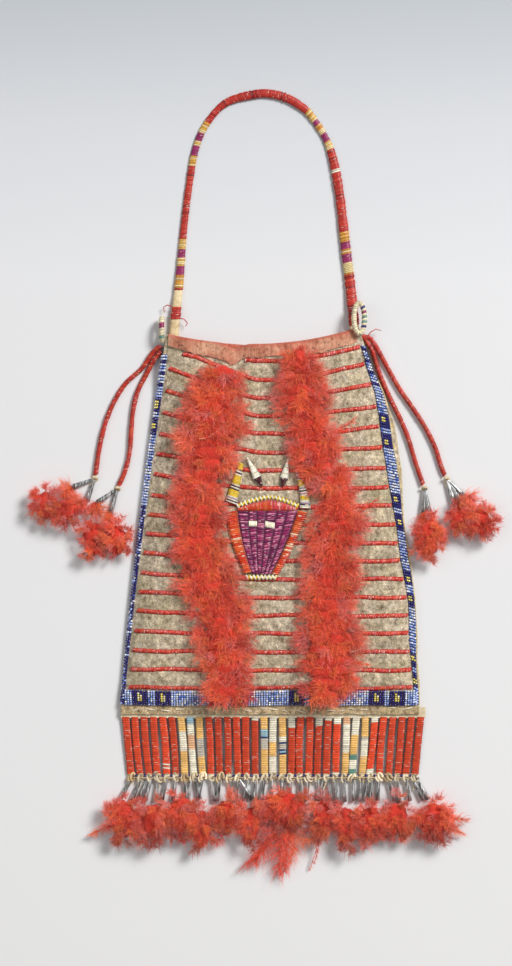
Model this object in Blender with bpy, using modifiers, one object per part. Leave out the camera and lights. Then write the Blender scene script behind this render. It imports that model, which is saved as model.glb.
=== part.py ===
"""Quilled and beaded hide bag, lying on its back.

X runs across the bag, Y from the fringe to the handle and Z up out of the front.
The origin is on the back panel's flat face, at the middle of the bag.
"""

import bisect
import math

import bmesh
import bpy
from mathutils import Matrix, Vector

MM = 0.001
CLEAR = 0.3 * MM  # gap left between pieces that touch

# Hide panels
BAG_HEIGHT = 291 * MM
BASE_Y = -144 * MM
BASE_WIDTH = 226 * MM
MOUTH_WIDTH = 146 * MM
MOUTH_SHIFT = -5 * MM  # the mouth sits a little left of the base
LEFT_BOW = 2.5 * MM
RIGHT_BOW = 12 * MM
HIDE = 1.5 * MM
BELLY = 10.5 * MM  # height of the front panel's underside at its middle
SIDE_RAMP = 26 * MM  # width over which the front rises from a side seam
BASE_RAMP = 24 * MM
HEM = 7.5 * MM  # flat hide below the beaded band
MOUTH_SAG = 11 * MM
MOUTH_TILT = 5 * MM  # the right corner stands this much higher
PLEAT_AT = 0.353  # share of the mouth's width, from the left
PLEAT_DIP = 4 * MM
PLEAT_DEPTH = 2.6 * MM
PLEAT_WIDTH = 7 * MM
PLEAT_LENGTH = 70 * MM

# Cloth binding of the mouth
BINDING = 0.8 * MM
# How far the tape reaches down the front, by share of the mouth's width
BINDING_DEPTHS = (
    (0, 8 * MM), (0.33, 12 * MM), (0.37, 8.8 * MM), (0.6, 8.8 * MM), (0.76, 10.4 * MM), (1, 9.8 * MM),
)
BINDING_INSIDE = 7 * MM
BINDING_INSET = 0.012  # share of the mouth's width left bare at each end

# Handle: a hide strap wrapped with quills
STRAP_WIDTH = 7 * MM
STRAP = 2.2 * MM
WRAP = 0.35 * MM
HANDLE_RISE = 180 * MM
HANDLE_LEFT_INSET = 5.5 * MM  # from a mouth corner to the middle of a strap end
HANDLE_RIGHT_INSET = 3.8 * MM
LEFT_SLIM = 0.34  # shares of its width and thickness that the handle loses up its left side
TOP_SLIM = 0.17  # and at its top
SHOULDER_SLIM = 0.2  # and more at its right shoulder
LEFT_SLIM_BY = 0.45  # shares of the rise: where the left side is at its thinnest,
LEFT_SLIM_TO = 0.93  # where it widens again to the top,
SHOULDER_AT = 0.84  # and the right shoulder's middle and reach
SHOULDER_SPREAD = 0.09
LAID_FROM = 0.03  # shares of the rise between which the strap comes down from the mouth to the table
LAID_BY = 0.23
STRAP_TAB = 13 * MM  # sewn length inside the mouth
COLLAR_FROM = 8 * MM  # heights above the mouth where the left wraps begin and end
COLLAR_TO = 18 * MM
COLLAR_FINENESS = 4  # how many times closer together the collar's points are
WRAP_FROM = 27 * MM
RIGHT_WRAP_FROM = 4 * MM
HANDLE_COUNT = 42  # points along the strap
# Places along the arch, as shares of half its span and of its rise
HANDLE_SHAPE = (
    (-1, 0), (-0.943, 0.222), (-0.896, 0.433), (-0.832, 0.628), (-0.766, 0.768), (-0.647, 0.873),
    (-0.426, 0.964), (-0.1, 1), (0.09, 1), (0.254, 0.982), (0.384, 0.954), (0.502, 0.916),
    (0.669, 0.821), (0.761, 0.726), (0.835, 0.572), (0.898, 0.362), (0.953, 0.187), (1, 0),
)

# Quilled lines across the front
LINE_COUNT = 19
LINE_WIDTH = 2.6 * MM
LINE_HEIGHT = 1.2 * MM
FIRST_LINE_DROP = 23.5 * MM  # from the mouth corners down to the first line
LAST_LINE_RISE = 21.1 * MM  # from the base up to the last line
FIRST_LINE_Y = BASE_Y + BAG_HEIGHT - FIRST_LINE_DROP
LAST_LINE_Y = BASE_Y + LAST_LINE_RISE
LINE_PITCH = (FIRST_LINE_Y - LAST_LINE_Y) / (LINE_COUNT - 1)
LEFT_RISE = 30 * MM
LEFT_FADE = 6.5  # lines over which the rise at the left fades
LEFT_END = 5  # lines above the last over which it fades out wholly
RIGHT_RISE = 15 * MM
RIGHT_FADE = 4.5

# Beadwork
BEAD = 1.3 * MM  # thickness of a sewn bead lane
BEAD_RIB = 0.25 * MM
LANE = 11.6 * MM  # width of the lane along the base
LANE_RIBS = 24
EDGE_RIBS = 16
RIGHT_EDGE_LANE = 7.2 * MM
LEFT_EDGE_LANE = 4.6 * MM
EDGE_TOP_GAP = 7.5 * MM  # bare seam between the binding and the edge lanes

# Head worked in quills on the front
MOTIF = 0.8 * MM
HEAD_X = -1.9 * MM
FACE_AT = 0.531  # height of the face's top, as a share of the bag's
FACE_TOP_Y = BASE_Y + FACE_AT * BAG_HEIGHT
FACE_TOP_WIDTH = 44.8 * MM
FACE_CHIN_WIDTH = 14.4 * MM
FACE_HEIGHT = 47 * MM
FACE_LEAN = -4.5 * MM  # the chin lies left of the brow
CHEEK_TOP_WIDTH = 6.4 * MM
CHEEK_CHIN_WIDTH = 4.4 * MM
BROW_HEIGHT = 5 * MM  # at its two ends
BROW_RISE = 4.5 * MM
TRIM = 3 * MM
HORN_BASE = 7.6 * MM
HORN_TIP = 2.6 * MM
HORN_HEIGHT = 28 * MM
HORN_SWEEP = 6.5 * MM
EAR_LENGTH = 21 * MM
EAR_WIDTH = 4.6 * MM
EAR_SPREAD = 16 * MM  # between the roots of the two ears
EAR_SPLAY = 8 * MM  # how much farther out a tip is than its root
EAR_LEAN = -3 * MM

# Slat fringe: one comb of rawhide, each slat wrapped with quills
SLAT_COUNT = 33
SLAT_WIDTH = 6 * MM
SLAT_LENGTH = 43.5 * MM
SLAT_THICKNESS = 2.2 * MM
SLAT_TOP_PITCH = 7 * MM
SLAT_FOOT_PITCH = 6.71 * MM
FRINGE_X = 2.4 * MM
COMB = 1 * MM  # thickness of the comb's sewn edge
COMB_SHOWS = 1.4 * MM

# Tie cord through the slats' feet, with knots, spacer beads and tin cones
KNOT = 2.5 * MM  # radii
SPACER = 1.25 * MM
CORD = 0.6 * MM
CONE_LENGTH = 17 * MM
CONE_SUNK = 0.5  # where a cone starts, as a share of its knot's radius
CONE_NARROW = 1 * MM
CONE_MOUTH = 2.1 * MM
TIN = 0.3 * MM

# Down, as soft solids of its outer shape
COLUMN_HALF = 19.5  # in millimetres
COLUMN_HEIGHT = 13 * MM
# Places down each column: x in millimetres, and the share of the way from the last quilled line to the first
LEFT_COLUMN = (
    (-36, 0.953), (-46, 0.82), (-47, 0.694), (-49, 0.572), (-46, 0.45), (-40, 0.324), (-34, 0.203),
    (-33, 0.081), (-32, 0.01),
)
RIGHT_COLUMN = (
    (21, 0.949), (31, 0.88), (38, 0.759), (41, 0.633), (42, 0.511), (43, 0.389), (43, 0.263), (47, 0.142),
    (42, 0.016),
)
# Places along the fringe and the down's half width there, in millimetres
FRINGE_DOWN = ((-124, 15), (-85, 19), (-50, 19), (-20, 23), (6, 30), (30, 23), (70, 19), (105, 18), (136, 15))
DOWN_HEIGHT = 20 * MM
TASSEL_DOWN_HEIGHT = 15 * MM
BALL_FACES = 0.95  # how far out the faces of an oval ball lie, as a share of its half sizes

# Loops at the mouth's corners
LEFT_LOOP_LENGTH = 21 * MM
RIGHT_LOOP_LENGTH = 27 * MM
LOOP_TILT = -0.115  # the right loop's slope down from the binding that it rests on
LOOP_WIDTH = 12 * MM
LOOP_STRAND = 2.1 * MM  # radius
LOOP_OVERLAP = 7 * MM  # length of a loop that lies below its mouth corner

# Side tassels: quill-wrapped thongs on the surface, each with a knot, tin cones and down
THONG = 1.7 * MM  # radius
THONG_COUNT = 18
TASSEL_KNOT = 2.6 * MM
LEFT_OUTER_ROUTE = ((-82.4, 135.8, 3.6), (-88.5, 131.4, 3), (-97, 119, 1.8), (-109, 108, 1.8), (-118, 94, 1.8),
                    (-125, 77, 1.8), (-129.5, 58, 1.8), (-132.4, 38, 1.8))
LEFT_INNER_ROUTE = ((-82.6, 131.9, 3.6), (-87.8, 125.4, 3), (-94, 114, 1.8), (-100.5, 101, 1.8), (-104, 86, 1.8),
                    (-105.4, 70, 1.8), (-106.4, 56, 1.8), (-109.6, 42, 1.8), (-114.6, 30, 1.8))
RIGHT_INNER_ROUTE = ((73.2, 139, 3.6), (77.6, 132, 3.2), (81, 121, 1.8), (86.2, 107, 1.8), (93.4, 91.5, 1.8),
                     (100.4, 77, 1.8), (105.8, 63, 1.8), (110.2, 48, 1.8), (116.2, 30.5, 1.8))
RIGHT_OUTER_ROUTE = ((76.2, 141.6, 3.6), (81, 134.4, 3), (88, 121.5, 1.8), (97.8, 104, 1.8), (107.4, 90, 1.8),
                     (117.2, 75, 1.8), (124.8, 60, 1.8), (130, 44, 1.8), (132.8, 37.6, 1.8))
# Turn of each tassel's cones from its thong's own line and heading of its down, in degrees, and the down's half sizes
TASSELS = {
    "left_outer": (LEFT_OUTER_ROUTE, (-12, -62), -145, (22, 18)),
    "left_inner": (LEFT_INNER_ROUTE, (8, -32), -106, (21, 20)),
    "right_inner": (RIGHT_INNER_ROUTE, (-16, 12), -84, (15, 21)),
    "right_outer": (RIGHT_OUTER_ROUTE, (-8, 22, 50), -50, (20, 17)),
}


def clear_scene():
    for item in list(bpy.data.objects):
        bpy.data.objects.remove(item)


def collection_of(name):
    made = bpy.data.collections.new(name)
    bpy.context.scene.collection.children.link(made)
    return made


def finish_of(name, colour, roughness, metallic=0.0):
    made = bpy.data.materials.new(name)
    made.use_nodes = True
    shader = made.node_tree.nodes["Principled BSDF"]
    shader.inputs["Base Color"].default_value = (*colour, 1)
    shader.inputs["Roughness"].default_value = roughness
    shader.inputs["Metallic"].default_value = metallic
    return made


def add(name, data, finish, place=None):
    """One named part in the bag's collection."""
    data.materials.append(finish)
    part = bpy.data.objects.new(name, data)
    place = place or bag
    place.objects.link(part)
    return part


def smooth(part):
    part.data.shade_smooth()
    part.data.set_sharp_from_angle(angle=math.radians(40))
    return part


def blend(a, b, share):
    return a + (b - a) * share


def ease(share):
    share = min(max(share, 0.0), 1.0)
    return share * share * (3 - 2 * share)


def swell(share):
    """Rises like a quarter wave from 0 to 1."""
    return math.sin(math.pi / 2 * min(max(share, 0.0), 1.0))


def through(points, count):
    """Evenly spread points on a smooth curve through the given ones."""
    points = [Vector(p) for p in points]
    ends = [2 * points[0] - points[1], *points, 2 * points[-1] - points[-2]]
    fine = []
    for i in range(1, len(ends) - 2):
        a, b, c, d = ends[i - 1 : i + 3]
        for step in range(16):
            s = step / 16
            fine.append(0.5 * (2 * b + (c - a) * s + (2 * a - 5 * b + 4 * c - d) * s**2
                               + (3 * b - a - 3 * c + d) * s**3))
    fine.append(points[-1])
    gone = [0.0]
    for a, b in zip(fine, fine[1:]):
        gone.append(gone[-1] + (b - a).length)
    spread, i = [], 0
    for step in range(count):
        want = gone[-1] * step / (count - 1)
        while i < len(gone) - 2 and gone[i + 1] < want:
            i += 1
        spread.append(fine[i].lerp(fine[i + 1], min(1.0, (want - gone[i]) / (gone[i + 1] - gone[i]))))
    return spread


def spline_of(name, points, radii=None, cyclic=False, flat=False):
    curve = bpy.data.curves.new(name, "CURVE")
    curve.dimensions = "2D" if flat else "3D"
    line = curve.splines.new("POLY")
    line.points.add(len(points) - 1)
    for i, (spot, point) in enumerate(zip(line.points, points)):
        spot.co = (*Vector(point).to_3d(), 1)
        spot.radius = radii[i] if radii else 1
    line.use_cyclic_u = cyclic
    return curve


def tube(name, points, radius, finish, sides=2, radii=None):
    curve = spline_of(name, points, radii)
    curve.bevel_depth = radius
    curve.bevel_resolution = sides
    curve.use_fill_caps = True
    return add(name, curve, finish)


def plate(name, outline, low, thickness, finish, place=None):
    """A flat piece cut to an outline, from a height upwards."""
    curve = spline_of(name, outline, cyclic=True, flat=True)
    curve.fill_mode = "BOTH"
    curve.extrude = thickness / 2
    part = add(name, curve, finish, place)
    part.location.z = low + thickness / 2
    return part


def guide_of(name, corners):
    """A section for a curve's bevel; its corners run clockwise."""
    guide = bpy.data.objects.new(name, spline_of(name, corners, cyclic=True, flat=True))
    guides.objects.link(guide)
    guide.hide_render = True
    guide.display_type = "WIRE"
    return guide


def band_profile(name, width, thickness):
    """Section of a flat band with rounded edges."""
    w, h = width / 2, thickness / 2
    return guide_of(name, ((w, 0), (w * 0.8, -h), (-w * 0.8, -h), (-w, 0), (-w * 0.8, h), (w * 0.8, h)))


def row_profile(name, width, height):
    """Section of a quilled row: flat below and humped above."""
    w, h = width / 2, height / 2
    return guide_of(name, ((w, -h), (-w, -h), (-w * 0.75, h * 0.5), (0, h), (w * 0.75, h * 0.5)))


def band(name, points, profile, finish, radii=None, caps=True):
    curve = spline_of(name, points, radii)
    curve.bevel_mode = "OBJECT"
    curve.bevel_object = profile
    curve.twist_mode = "Z_UP"
    curve.use_fill_caps = caps
    return add(name, curve, finish)


def sheet(name, columns, rows, place, thickness, finish, side=0.0):
    """A grid laid out by place(column, row) and given its thickness."""
    mesh = bpy.data.meshes.new(name)
    grid = bmesh.new()
    bmesh.ops.create_grid(grid, x_segments=columns, y_segments=rows, size=1)
    for corner in grid.verts:
        across = round((corner.co.x + 1) / 2 * columns)
        up = round((corner.co.y + 1) / 2 * rows)
        corner.co = place(across, up)
    grid.to_mesh(mesh)
    grid.free()
    part = add(name, mesh, finish)
    shell = part.modifiers.new("thickness", "SOLIDIFY")
    shell.thickness = thickness
    shell.offset = side
    return part


def as_mesh(part):
    """The same part with its curve or modifiers made a welded mesh."""
    graph = bpy.context.evaluated_depsgraph_get()
    mesh = bpy.data.meshes.new_from_object(part.evaluated_get(graph))
    shape = bmesh.new()
    shape.from_mesh(mesh)
    bmesh.ops.remove_doubles(shape, verts=shape.verts, dist=0.00001)
    shape.to_mesh(mesh)
    shape.free()
    name, matrix, place = part.name, part.matrix_world.copy(), part.users_collection[0]
    bpy.data.objects.remove(part)
    made = bpy.data.objects.new(name, mesh)
    place.objects.link(made)
    made.matrix_world = matrix
    return made


def unite(part, others):
    """Joins other meshes to a part as one body, and removes them."""
    for other in others:
        other.hide_render = True
        other.display_type = "WIRE"
        union = part.modifiers.new("union", "BOOLEAN")
        union.operation = "UNION"
        union.object = other
    bpy.context.view_layer.update()
    joined = as_mesh(part)
    for other in others:
        bpy.data.objects.remove(other)
    return joined


# The bag's outline and the front panel's surface


def side_x(y):
    """Left and right edge of the bag at a height."""
    up = (y - BASE_Y) / BAG_HEIGHT
    swing = 4 * up * (1 - up)
    left = blend(-BASE_WIDTH / 2, MOUTH_SHIFT - MOUTH_WIDTH / 2, up) - LEFT_BOW * swing
    right = blend(BASE_WIDTH / 2, MOUTH_SHIFT + MOUTH_WIDTH / 2, up) + RIGHT_BOW * swing
    return left, right


def mouth_y(across):
    top = BASE_Y + BAG_HEIGHT
    return top + MOUTH_TILT * (across - 0.5) - MOUTH_SAG * math.sin(math.pi * across) ** 0.8


def front_mouth_y(across):
    return mouth_y(across) - PLEAT_DIP * math.exp(-((across - PLEAT_AT) / 0.04) ** 2)


def binding_depth(across):
    i, s = between([stop for stop, _ in BINDING_DEPTHS], across)
    return blend(BINDING_DEPTHS[i][1], BINDING_DEPTHS[i + 1][1], s)


def across_at(x, y):
    left, right = side_x(y)
    return min(max((x - left) / (right - left), 0.0), 1.0)


def seam_height(y):
    """Underside of the front panel where it is sewn to the back."""
    top = BASE_Y + BAG_HEIGHT
    plain = HIDE + CLEAR
    at_base = plain + COMB + CLEAR
    at_mouth = plain + BINDING + CLEAR + STRAP + CLEAR + BINDING + CLEAR
    low = blend(at_base, plain, ease((y - BASE_Y - HEM) / BASE_RAMP))
    return blend(low, at_mouth, ease((y - top + 4 * STRAP_TAB) / (2.6 * STRAP_TAB)))


def crown(x, y):
    """Height of the front panel's middle, before it is laid out on its grid."""
    left, right = side_x(y)
    top = BASE_Y + BAG_HEIGHT
    rise = swell((x - left) / SIDE_RAMP) * swell((right - x) / SIDE_RAMP)
    rise *= swell((y - BASE_Y - HEM) / BASE_RAMP)
    pleat_x = blend(left, right, PLEAT_AT)
    fold = PLEAT_DEPTH * math.exp(-((x - pleat_x) / PLEAT_WIDTH) ** 2)
    fold *= ease((y - top + PLEAT_LENGTH) / PLEAT_LENGTH)
    low = seam_height(y)
    return HIDE / 2 + low + (BELLY - low) * rise - fold * rise


def panel_columns():
    """Shares across the front, closer together at its sides and its pleat."""
    pleat = [PLEAT_AT + step for step in (-0.04, 0, 0.04)]
    plain = [(1 - math.cos(math.pi * i / 11)) / 2 for i in range(12)]
    return sorted(pleat + [p for p in plain if min(abs(p - q) for q in pleat) > 0.02])


def panel_rows():
    """Shares from the base to the mouth, closer together at the ramp above the hem."""
    ramp = [(HEM + BASE_RAMP * i * i / 9) / BAG_HEIGHT for i in range(4)]
    return [0] + ramp + [blend(ramp[-1], 1, i / 9) for i in range(1, 10)]


def panel_place(across, share):
    y = blend(BASE_Y, front_mouth_y(across), share)
    x = blend(*side_x(y), across)
    return Vector((x, y, crown(x, y)))


def between(stops, value):
    """The stop before a value, and how far on it is to the next."""
    i = max(0, min(bisect.bisect_right(stops, value) - 1, len(stops) - 2))
    return i, (value - stops[i]) / (stops[i + 1] - stops[i])


def front_height(x, y):
    """Height of the front panel's middle, straight between the places of its grid."""
    across = across_at(x, y)
    columns, rows = panel_columns(), panel_rows()
    i, s = between(columns, across)
    j, t = between(rows, (y - BASE_Y) / (front_mouth_y(across) - BASE_Y))
    low = blend(panel_place(columns[i], rows[j]).z, panel_place(columns[i + 1], rows[j]).z, s)
    high = blend(panel_place(columns[i], rows[j + 1]).z, panel_place(columns[i + 1], rows[j + 1]).z, s)
    return blend(low, high, t)


def front_slopes(x, y):
    step = 2 * MM
    across = front_height(x + step, y) - front_height(x - step, y)
    up = front_height(x, y + step) - front_height(x, y - step)
    return across / (2 * step), up / (2 * step)


def over_front(x, y, lift):
    """Height at which something lies a distance over the front panel's face, or under its inner face if below 0."""
    reach = lift + math.copysign(HIDE / 2, lift)
    return front_height(x, y) + reach * math.hypot(1, *front_slopes(x, y))


PLATEAU = BELLY + HIDE
LAYER = PLATEAU + CLEAR + LINE_HEIGHT + CLEAR  # what is sewn over the quilled lines


def make_back_panel():
    steps = 14
    ups = [i / steps for i in range(steps + 1)]
    left = [(side_x(blend(BASE_Y, mouth_y(0), up))[0], blend(BASE_Y, mouth_y(0), up)) for up in ups]
    right = [(side_x(blend(BASE_Y, mouth_y(1), up))[1], blend(BASE_Y, mouth_y(1), up)) for up in ups]
    mouth = []
    for i in range(1, 20):
        y = mouth_y(i / 20)
        ends = side_x(y)
        mouth.append((blend(ends[0], ends[1], i / 20), y))
    plate("back_panel", right + mouth[::-1] + left[::-1], 0, HIDE, hide)


def make_front_panel():
    columns, rows = panel_columns(), panel_rows()
    spot = lambda i, j: panel_place(columns[i], rows[j])
    shell = sheet("front_panel", len(columns) - 1, len(rows) - 1, spot, HIDE, hide)
    return smooth(shell)


def make_front_binding():
    """Cloth folded over the front's mouth edge, longer outside than inside."""
    columns = panel_columns()
    reach = 2 * CLEAR + BINDING / 2

    def place(i, j):
        across = min(max(columns[i], BINDING_INSET), 1 - BINDING_INSET)
        top = front_mouth_y(across)
        x = blend(*side_x(top), across)
        depth = binding_depth(across)
        along, lift = (
            (-depth + reach, reach), (-depth / 2, reach), (0, reach), (reach, 0), (0, -reach), (-BINDING_INSIDE, -reach),
        )[j]
        if lift == 0:
            return x, top + along, front_height(x, top)
        return x, top + along, over_front(x, top + along, lift)

    sheet("mouth_binding_front", len(columns) - 1, 5, place, BINDING, binding_cloth)


def make_back_binding():
    """The back's binding lies against the panel's inner face and turns down over its edge."""
    columns = panel_columns()
    reach = CLEAR + BINDING / 2

    def place(i, j):
        across = min(max(columns[i], BINDING_INSET), 1 - BINDING_INSET)
        top = mouth_y(across)
        x = blend(*side_x(top), across)
        return (
            (x, top - BINDING_INSIDE, HIDE + reach),
            (x, top + reach, HIDE + reach),
            (x, top + reach, BINDING / 2),
        )[j]

    sheet("mouth_binding_back", len(columns) - 1, 2, place, BINDING, binding_cloth)


def line_y(number, x):
    """Height of a quilled line, counted from 1 at the mouth."""
    y = FIRST_LINE_Y - LINE_PITCH * (number - 1)
    across = across_at(x, y)
    fade = math.exp(-max(0, number - 2) / LEFT_FADE) * min(1, (LINE_COUNT - number) / LEFT_END)
    left = LEFT_RISE * fade * max(0.0, 1 - across / 0.44) ** 1.15
    right = RIGHT_RISE * math.exp(-((number - 1) / RIGHT_FADE) ** 2) * max(0.0, (across - 0.6) / 0.4) ** 1.15
    below_binding = front_mouth_y(across) - binding_depth(across) - LINE_WIDTH / 2 - 2 * CLEAR
    return min(y + left + right, below_binding)


def on_line(number, share):
    """Where a quilled line crosses one of the panel's columns."""
    x = 0
    for _ in range(4):
        x = blend(*side_x(line_y(number, x)), share)
    return x


def make_quill_line(number, profile):
    start = FIRST_LINE_Y - LINE_PITCH * (number - 1)
    ends = []
    for side, way in (("left", 1), ("right", -1)):
        x = side_x(start)[0 if side == "left" else 1]
        for _ in range(4):
            y = line_y(number, x)
            x = side_x(y)[0 if side == "left" else 1] + way * (edge_lane(side, y) + BEAD / 2 + 2 * CLEAR)
        ends.append(x)
    if number == 1:
        ends[0] = blend(*side_x(start), PLEAT_AT) + PLEAT_WIDTH
    if number == 2:
        ends[0] += 2 * PLEAT_WIDTH
    inner = [on_line(number, share) for share in panel_columns()]
    points = []
    for x in [ends[0], *(x for x in inner if ends[0] + LINE_WIDTH < x < ends[1] - LINE_WIDTH), ends[1]]:
        y = line_y(number, x)
        rocks = LINE_WIDTH / 2 * abs(front_slopes(x, y)[1])
        points.append((x, y, over_front(x, y, 1.5 * CLEAR + LINE_HEIGHT / 2) + rocks))
    band(f"quill_line_{number:02d}", points, profile, red_quill)


def edge_lane(side, y):
    """How far a beaded edge reaches over the front."""
    if side == "right":
        return RIGHT_EDGE_LANE
    up = (y - BASE_Y) / BAG_HEIGHT
    return LEFT_EDGE_LANE * blend(0.4, 1, ease(up))


def make_beaded_edge(side):
    """Bead rows sewn over a side seam, from the front round to the table."""
    low = BASE_Y + HEM + 2 * CLEAR
    end = 0 if side == "left" else 1
    high = mouth_y(end) - binding_depth(end) - EDGE_TOP_GAP
    outward = -1 if side == "left" else 1
    stations = 2 * EDGE_RIBS

    def place(i, j):
        y = blend(low, high, i / stations)
        edge = side_x(y)[0 if side == "left" else 1]
        lift = 1.5 * CLEAR + BEAD / 2 + BEAD_RIB * (i % 2)
        inner = edge - outward * edge_lane(side, y)
        top = front_height(edge, y) + HIDE / 2
        return (
            (inner, y, over_front(inner, y, lift)),
            (edge, y, top + lift + CLEAR),
            (edge + outward * (lift + CLEAR), y, top + CLEAR),
            (edge + outward * (lift + CLEAR), y, BEAD / 2 + CLEAR),
        )[j]

    sheet(f"beaded_edge_{side}", stations, 3, place, BEAD, blue_bead)


def make_beaded_band():
    """The lane of beads across the front, above the hem."""
    stations = 2 * LANE_RIBS
    low, high = BASE_Y + HEM + CLEAR, BASE_Y + HEM + LANE
    inside = [y for y in (BASE_Y + BAG_HEIGHT * row for row in panel_rows()) if low + MM < y < high - MM]
    rows = [low, *inside, high]

    def place(i, j):
        y = rows[j]
        left, right = side_x(y)
        left += edge_lane("left", y) + BEAD / 2 + 2 * CLEAR
        right -= edge_lane("right", y) + BEAD / 2 + 2 * CLEAR
        x = blend(left, right, i / stations)
        return x, y, over_front(x, y, 2 * CLEAR + BEAD / 2 + BEAD_RIB * (i % 2))

    sheet("beaded_band", stations, len(rows) - 1, place, BEAD, blue_bead)


# The quilled head


def make_head():
    half_top = FACE_TOP_WIDTH / 2
    half_chin = FACE_CHIN_WIDTH / 2
    chin_y = FACE_TOP_Y - FACE_HEIGHT
    steps = 6

    def face_side(sign, down, out):
        """A point on the face's side, moved out by a distance; down is 0 at the brow and 1 at the chin."""
        half = blend(half_top, half_chin, down) + 1.6 * MM * math.sin(math.pi * down)
        return HEAD_X + FACE_LEAN * down + sign * (half + out), blend(FACE_TOP_Y, chin_y, down)

    downs = [i / steps for i in range(steps + 1)]
    face = [face_side(-1, d, 0) for d in downs] + [face_side(1, d, 0) for d in reversed(downs)]
    plate("head_face", face, LAYER, MOTIF, purple_quill)
    for side, sign in (("left", -1), ("right", 1)):
        inner = [face_side(sign, d, 2 * CLEAR) for d in downs]
        widths = [2 * CLEAR + blend(CHEEK_TOP_WIDTH, CHEEK_CHIN_WIDTH, d) for d in downs]
        outer = [face_side(sign, d, width) for d, width in zip(reversed(downs), reversed(widths))]
        plate(f"head_cheek_{side}", inner + outer, LAYER, MOTIF, red_quill)
        make_horn(side, sign, half_top)
        make_ear(side, sign)

    def brow(across, up):
        """A point on an arc over the face, with across from -1 to 1."""
        return HEAD_X + across * half_top, FACE_TOP_Y + BROW_HEIGHT + BROW_RISE * (1 - across * across) + up

    spots = [blend(-1, 1, i / 8) for i in range(9)]
    base = FACE_TOP_Y + 2 * CLEAR
    lens = [(HEAD_X - half_top, base), (HEAD_X + half_top, base)]
    lens += [brow(a, 0) for a in reversed(spots)]
    plate("head_brow", lens, LAYER, MOTIF, red_quill)
    trim = [brow(a, 2 * CLEAR) for a in spots] + [brow(a, 2 * CLEAR + TRIM) for a in reversed(spots)]
    plate("head_brow_trim", trim, LAYER, MOTIF, yellow_quill)
    middle = HEAD_X + FACE_LEAN
    wide = half_chin + CHEEK_CHIN_WIDTH
    low = chin_y - 2 * CLEAR
    chin = ((middle - wide, low - TRIM), (middle + wide, low - TRIM), (middle + wide, low), (middle - wide, low))
    plate("head_chin_trim", chin, LAYER, MOTIF, yellow_quill)


def make_horn(side, sign, half_top):
    """A crescent that stands on a cheek and bends in over the head."""
    root = HEAD_X + sign * (half_top + 2 * CLEAR)
    low = FACE_TOP_Y + 2 * CLEAR
    inner, outer = [], []
    for i in range(7):
        up = i / 6
        bend = HORN_SWEEP * up * (1.6 * up - 0.6)
        width = blend(HORN_BASE, HORN_TIP, up)
        y = low + HORN_HEIGHT * up
        inner.append((root - sign * bend, y))
        outer.append((root - sign * (bend - width), y))
    plate(f"head_horn_{side}", inner + outer[::-1], LAYER, MOTIF, yellow_quill)


def make_ear(side, sign):
    """A slim tapered ear, wide near its root."""
    middle = HEAD_X + EAR_WIDTH / 2
    root = Vector((middle + sign * EAR_SPREAD / 2, FACE_TOP_Y + BROW_HEIGHT + BROW_RISE + TRIM + 4 * CLEAR))
    tip = Vector((root.x + sign * EAR_SPLAY + EAR_LEAN, root.y + EAR_LENGTH))
    along = tip - root
    out = Vector((-along.y, along.x)).normalized() * EAR_WIDTH / 2
    wide = root + along * 0.3
    outline = root, wide - out, tip - out * 0.2, tip + out * 0.2, wide + out
    plate(f"head_ear_{side}", outline, LAYER, MOTIF, white_quill)


# The handle and the corner loops


def handle_points(count):
    """The strap's middle line from one sewn end to the other, and how thick it is there as a share."""
    left, right = side_x(BASE_Y + BAG_HEIGHT)
    left += HANDLE_LEFT_INSET
    right -= HANDLE_RIGHT_INSET
    top = BASE_Y + BAG_HEIGHT
    middle, half = (left + right) / 2, (right - left) / 2
    arch = [(middle + half * x, top + HANDLE_RISE * y, 0) for x, y in HANDLE_SHAPE]
    tabs = (left, top - STRAP_TAB, 0), (right, top - STRAP_TAB, 0)
    points = through([tabs[0], *arch, tabs[1]], count)
    radii = []
    sewn = HIDE + CLEAR + BINDING + CLEAR + STRAP / 2
    for point in points:
        up = (point.y - top) / HANDLE_RISE
        if point.x < middle:
            wider = (LEFT_SLIM - TOP_SLIM) * ease((up - LEFT_SLIM_TO) / (1 - LEFT_SLIM_TO))
            thick = 1 - LEFT_SLIM * ease(up / LEFT_SLIM_BY) + wider
        else:
            shoulder = math.exp(-((up - SHOULDER_AT) / SHOULDER_SPREAD) ** 2)
            thick = 1 - TOP_SLIM * ease(up) - SHOULDER_SLIM * shoulder
        lying = (STRAP / 2 + CLEAR + WRAP + CLEAR) * thick
        point.z = blend(sewn, lying, ease((up - LAID_FROM) / (LAID_BY - LAID_FROM)))
        radii.append(thick)
    return points, radii


def make_handle():
    points, radii = handle_points(HANDLE_COUNT)
    top = BASE_Y + BAG_HEIGHT
    middle = (points[0].x + points[-1].x) / 2
    band("handle_strap", points, band_profile("strap_section", STRAP_WIDTH, STRAP), rawhide, radii)

    def wrap(name, spots, keep):
        points, radii = handle_points(spots)
        kept = [i for i, point in enumerate(points) if keep(point)]
        section = band_profile(name + "_section", STRAP_WIDTH + 2 * CLEAR, STRAP + 2 * CLEAR)
        line, shares = [points[i] for i in kept], [radii[i] for i in kept]
        sleeve = band(name, line, section, red_quill, shares, caps=False)
        wall = sleeve.modifiers.new("wall", "SOLIDIFY")
        wall.thickness = WRAP
        wall.offset = 1 if outward(sleeve) else -1

    def in_collar(point):
        return point.x < middle and COLLAR_FROM < point.y - top < COLLAR_TO

    def in_wrap(point):
        return point.y - top > (WRAP_FROM if point.x < middle else RIGHT_WRAP_FROM)

    wrap("handle_quill_collar", COLLAR_FINENESS * HANDLE_COUNT, in_collar)
    wrap("handle_quill_wrap", HANDLE_COUNT, in_wrap)


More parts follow.
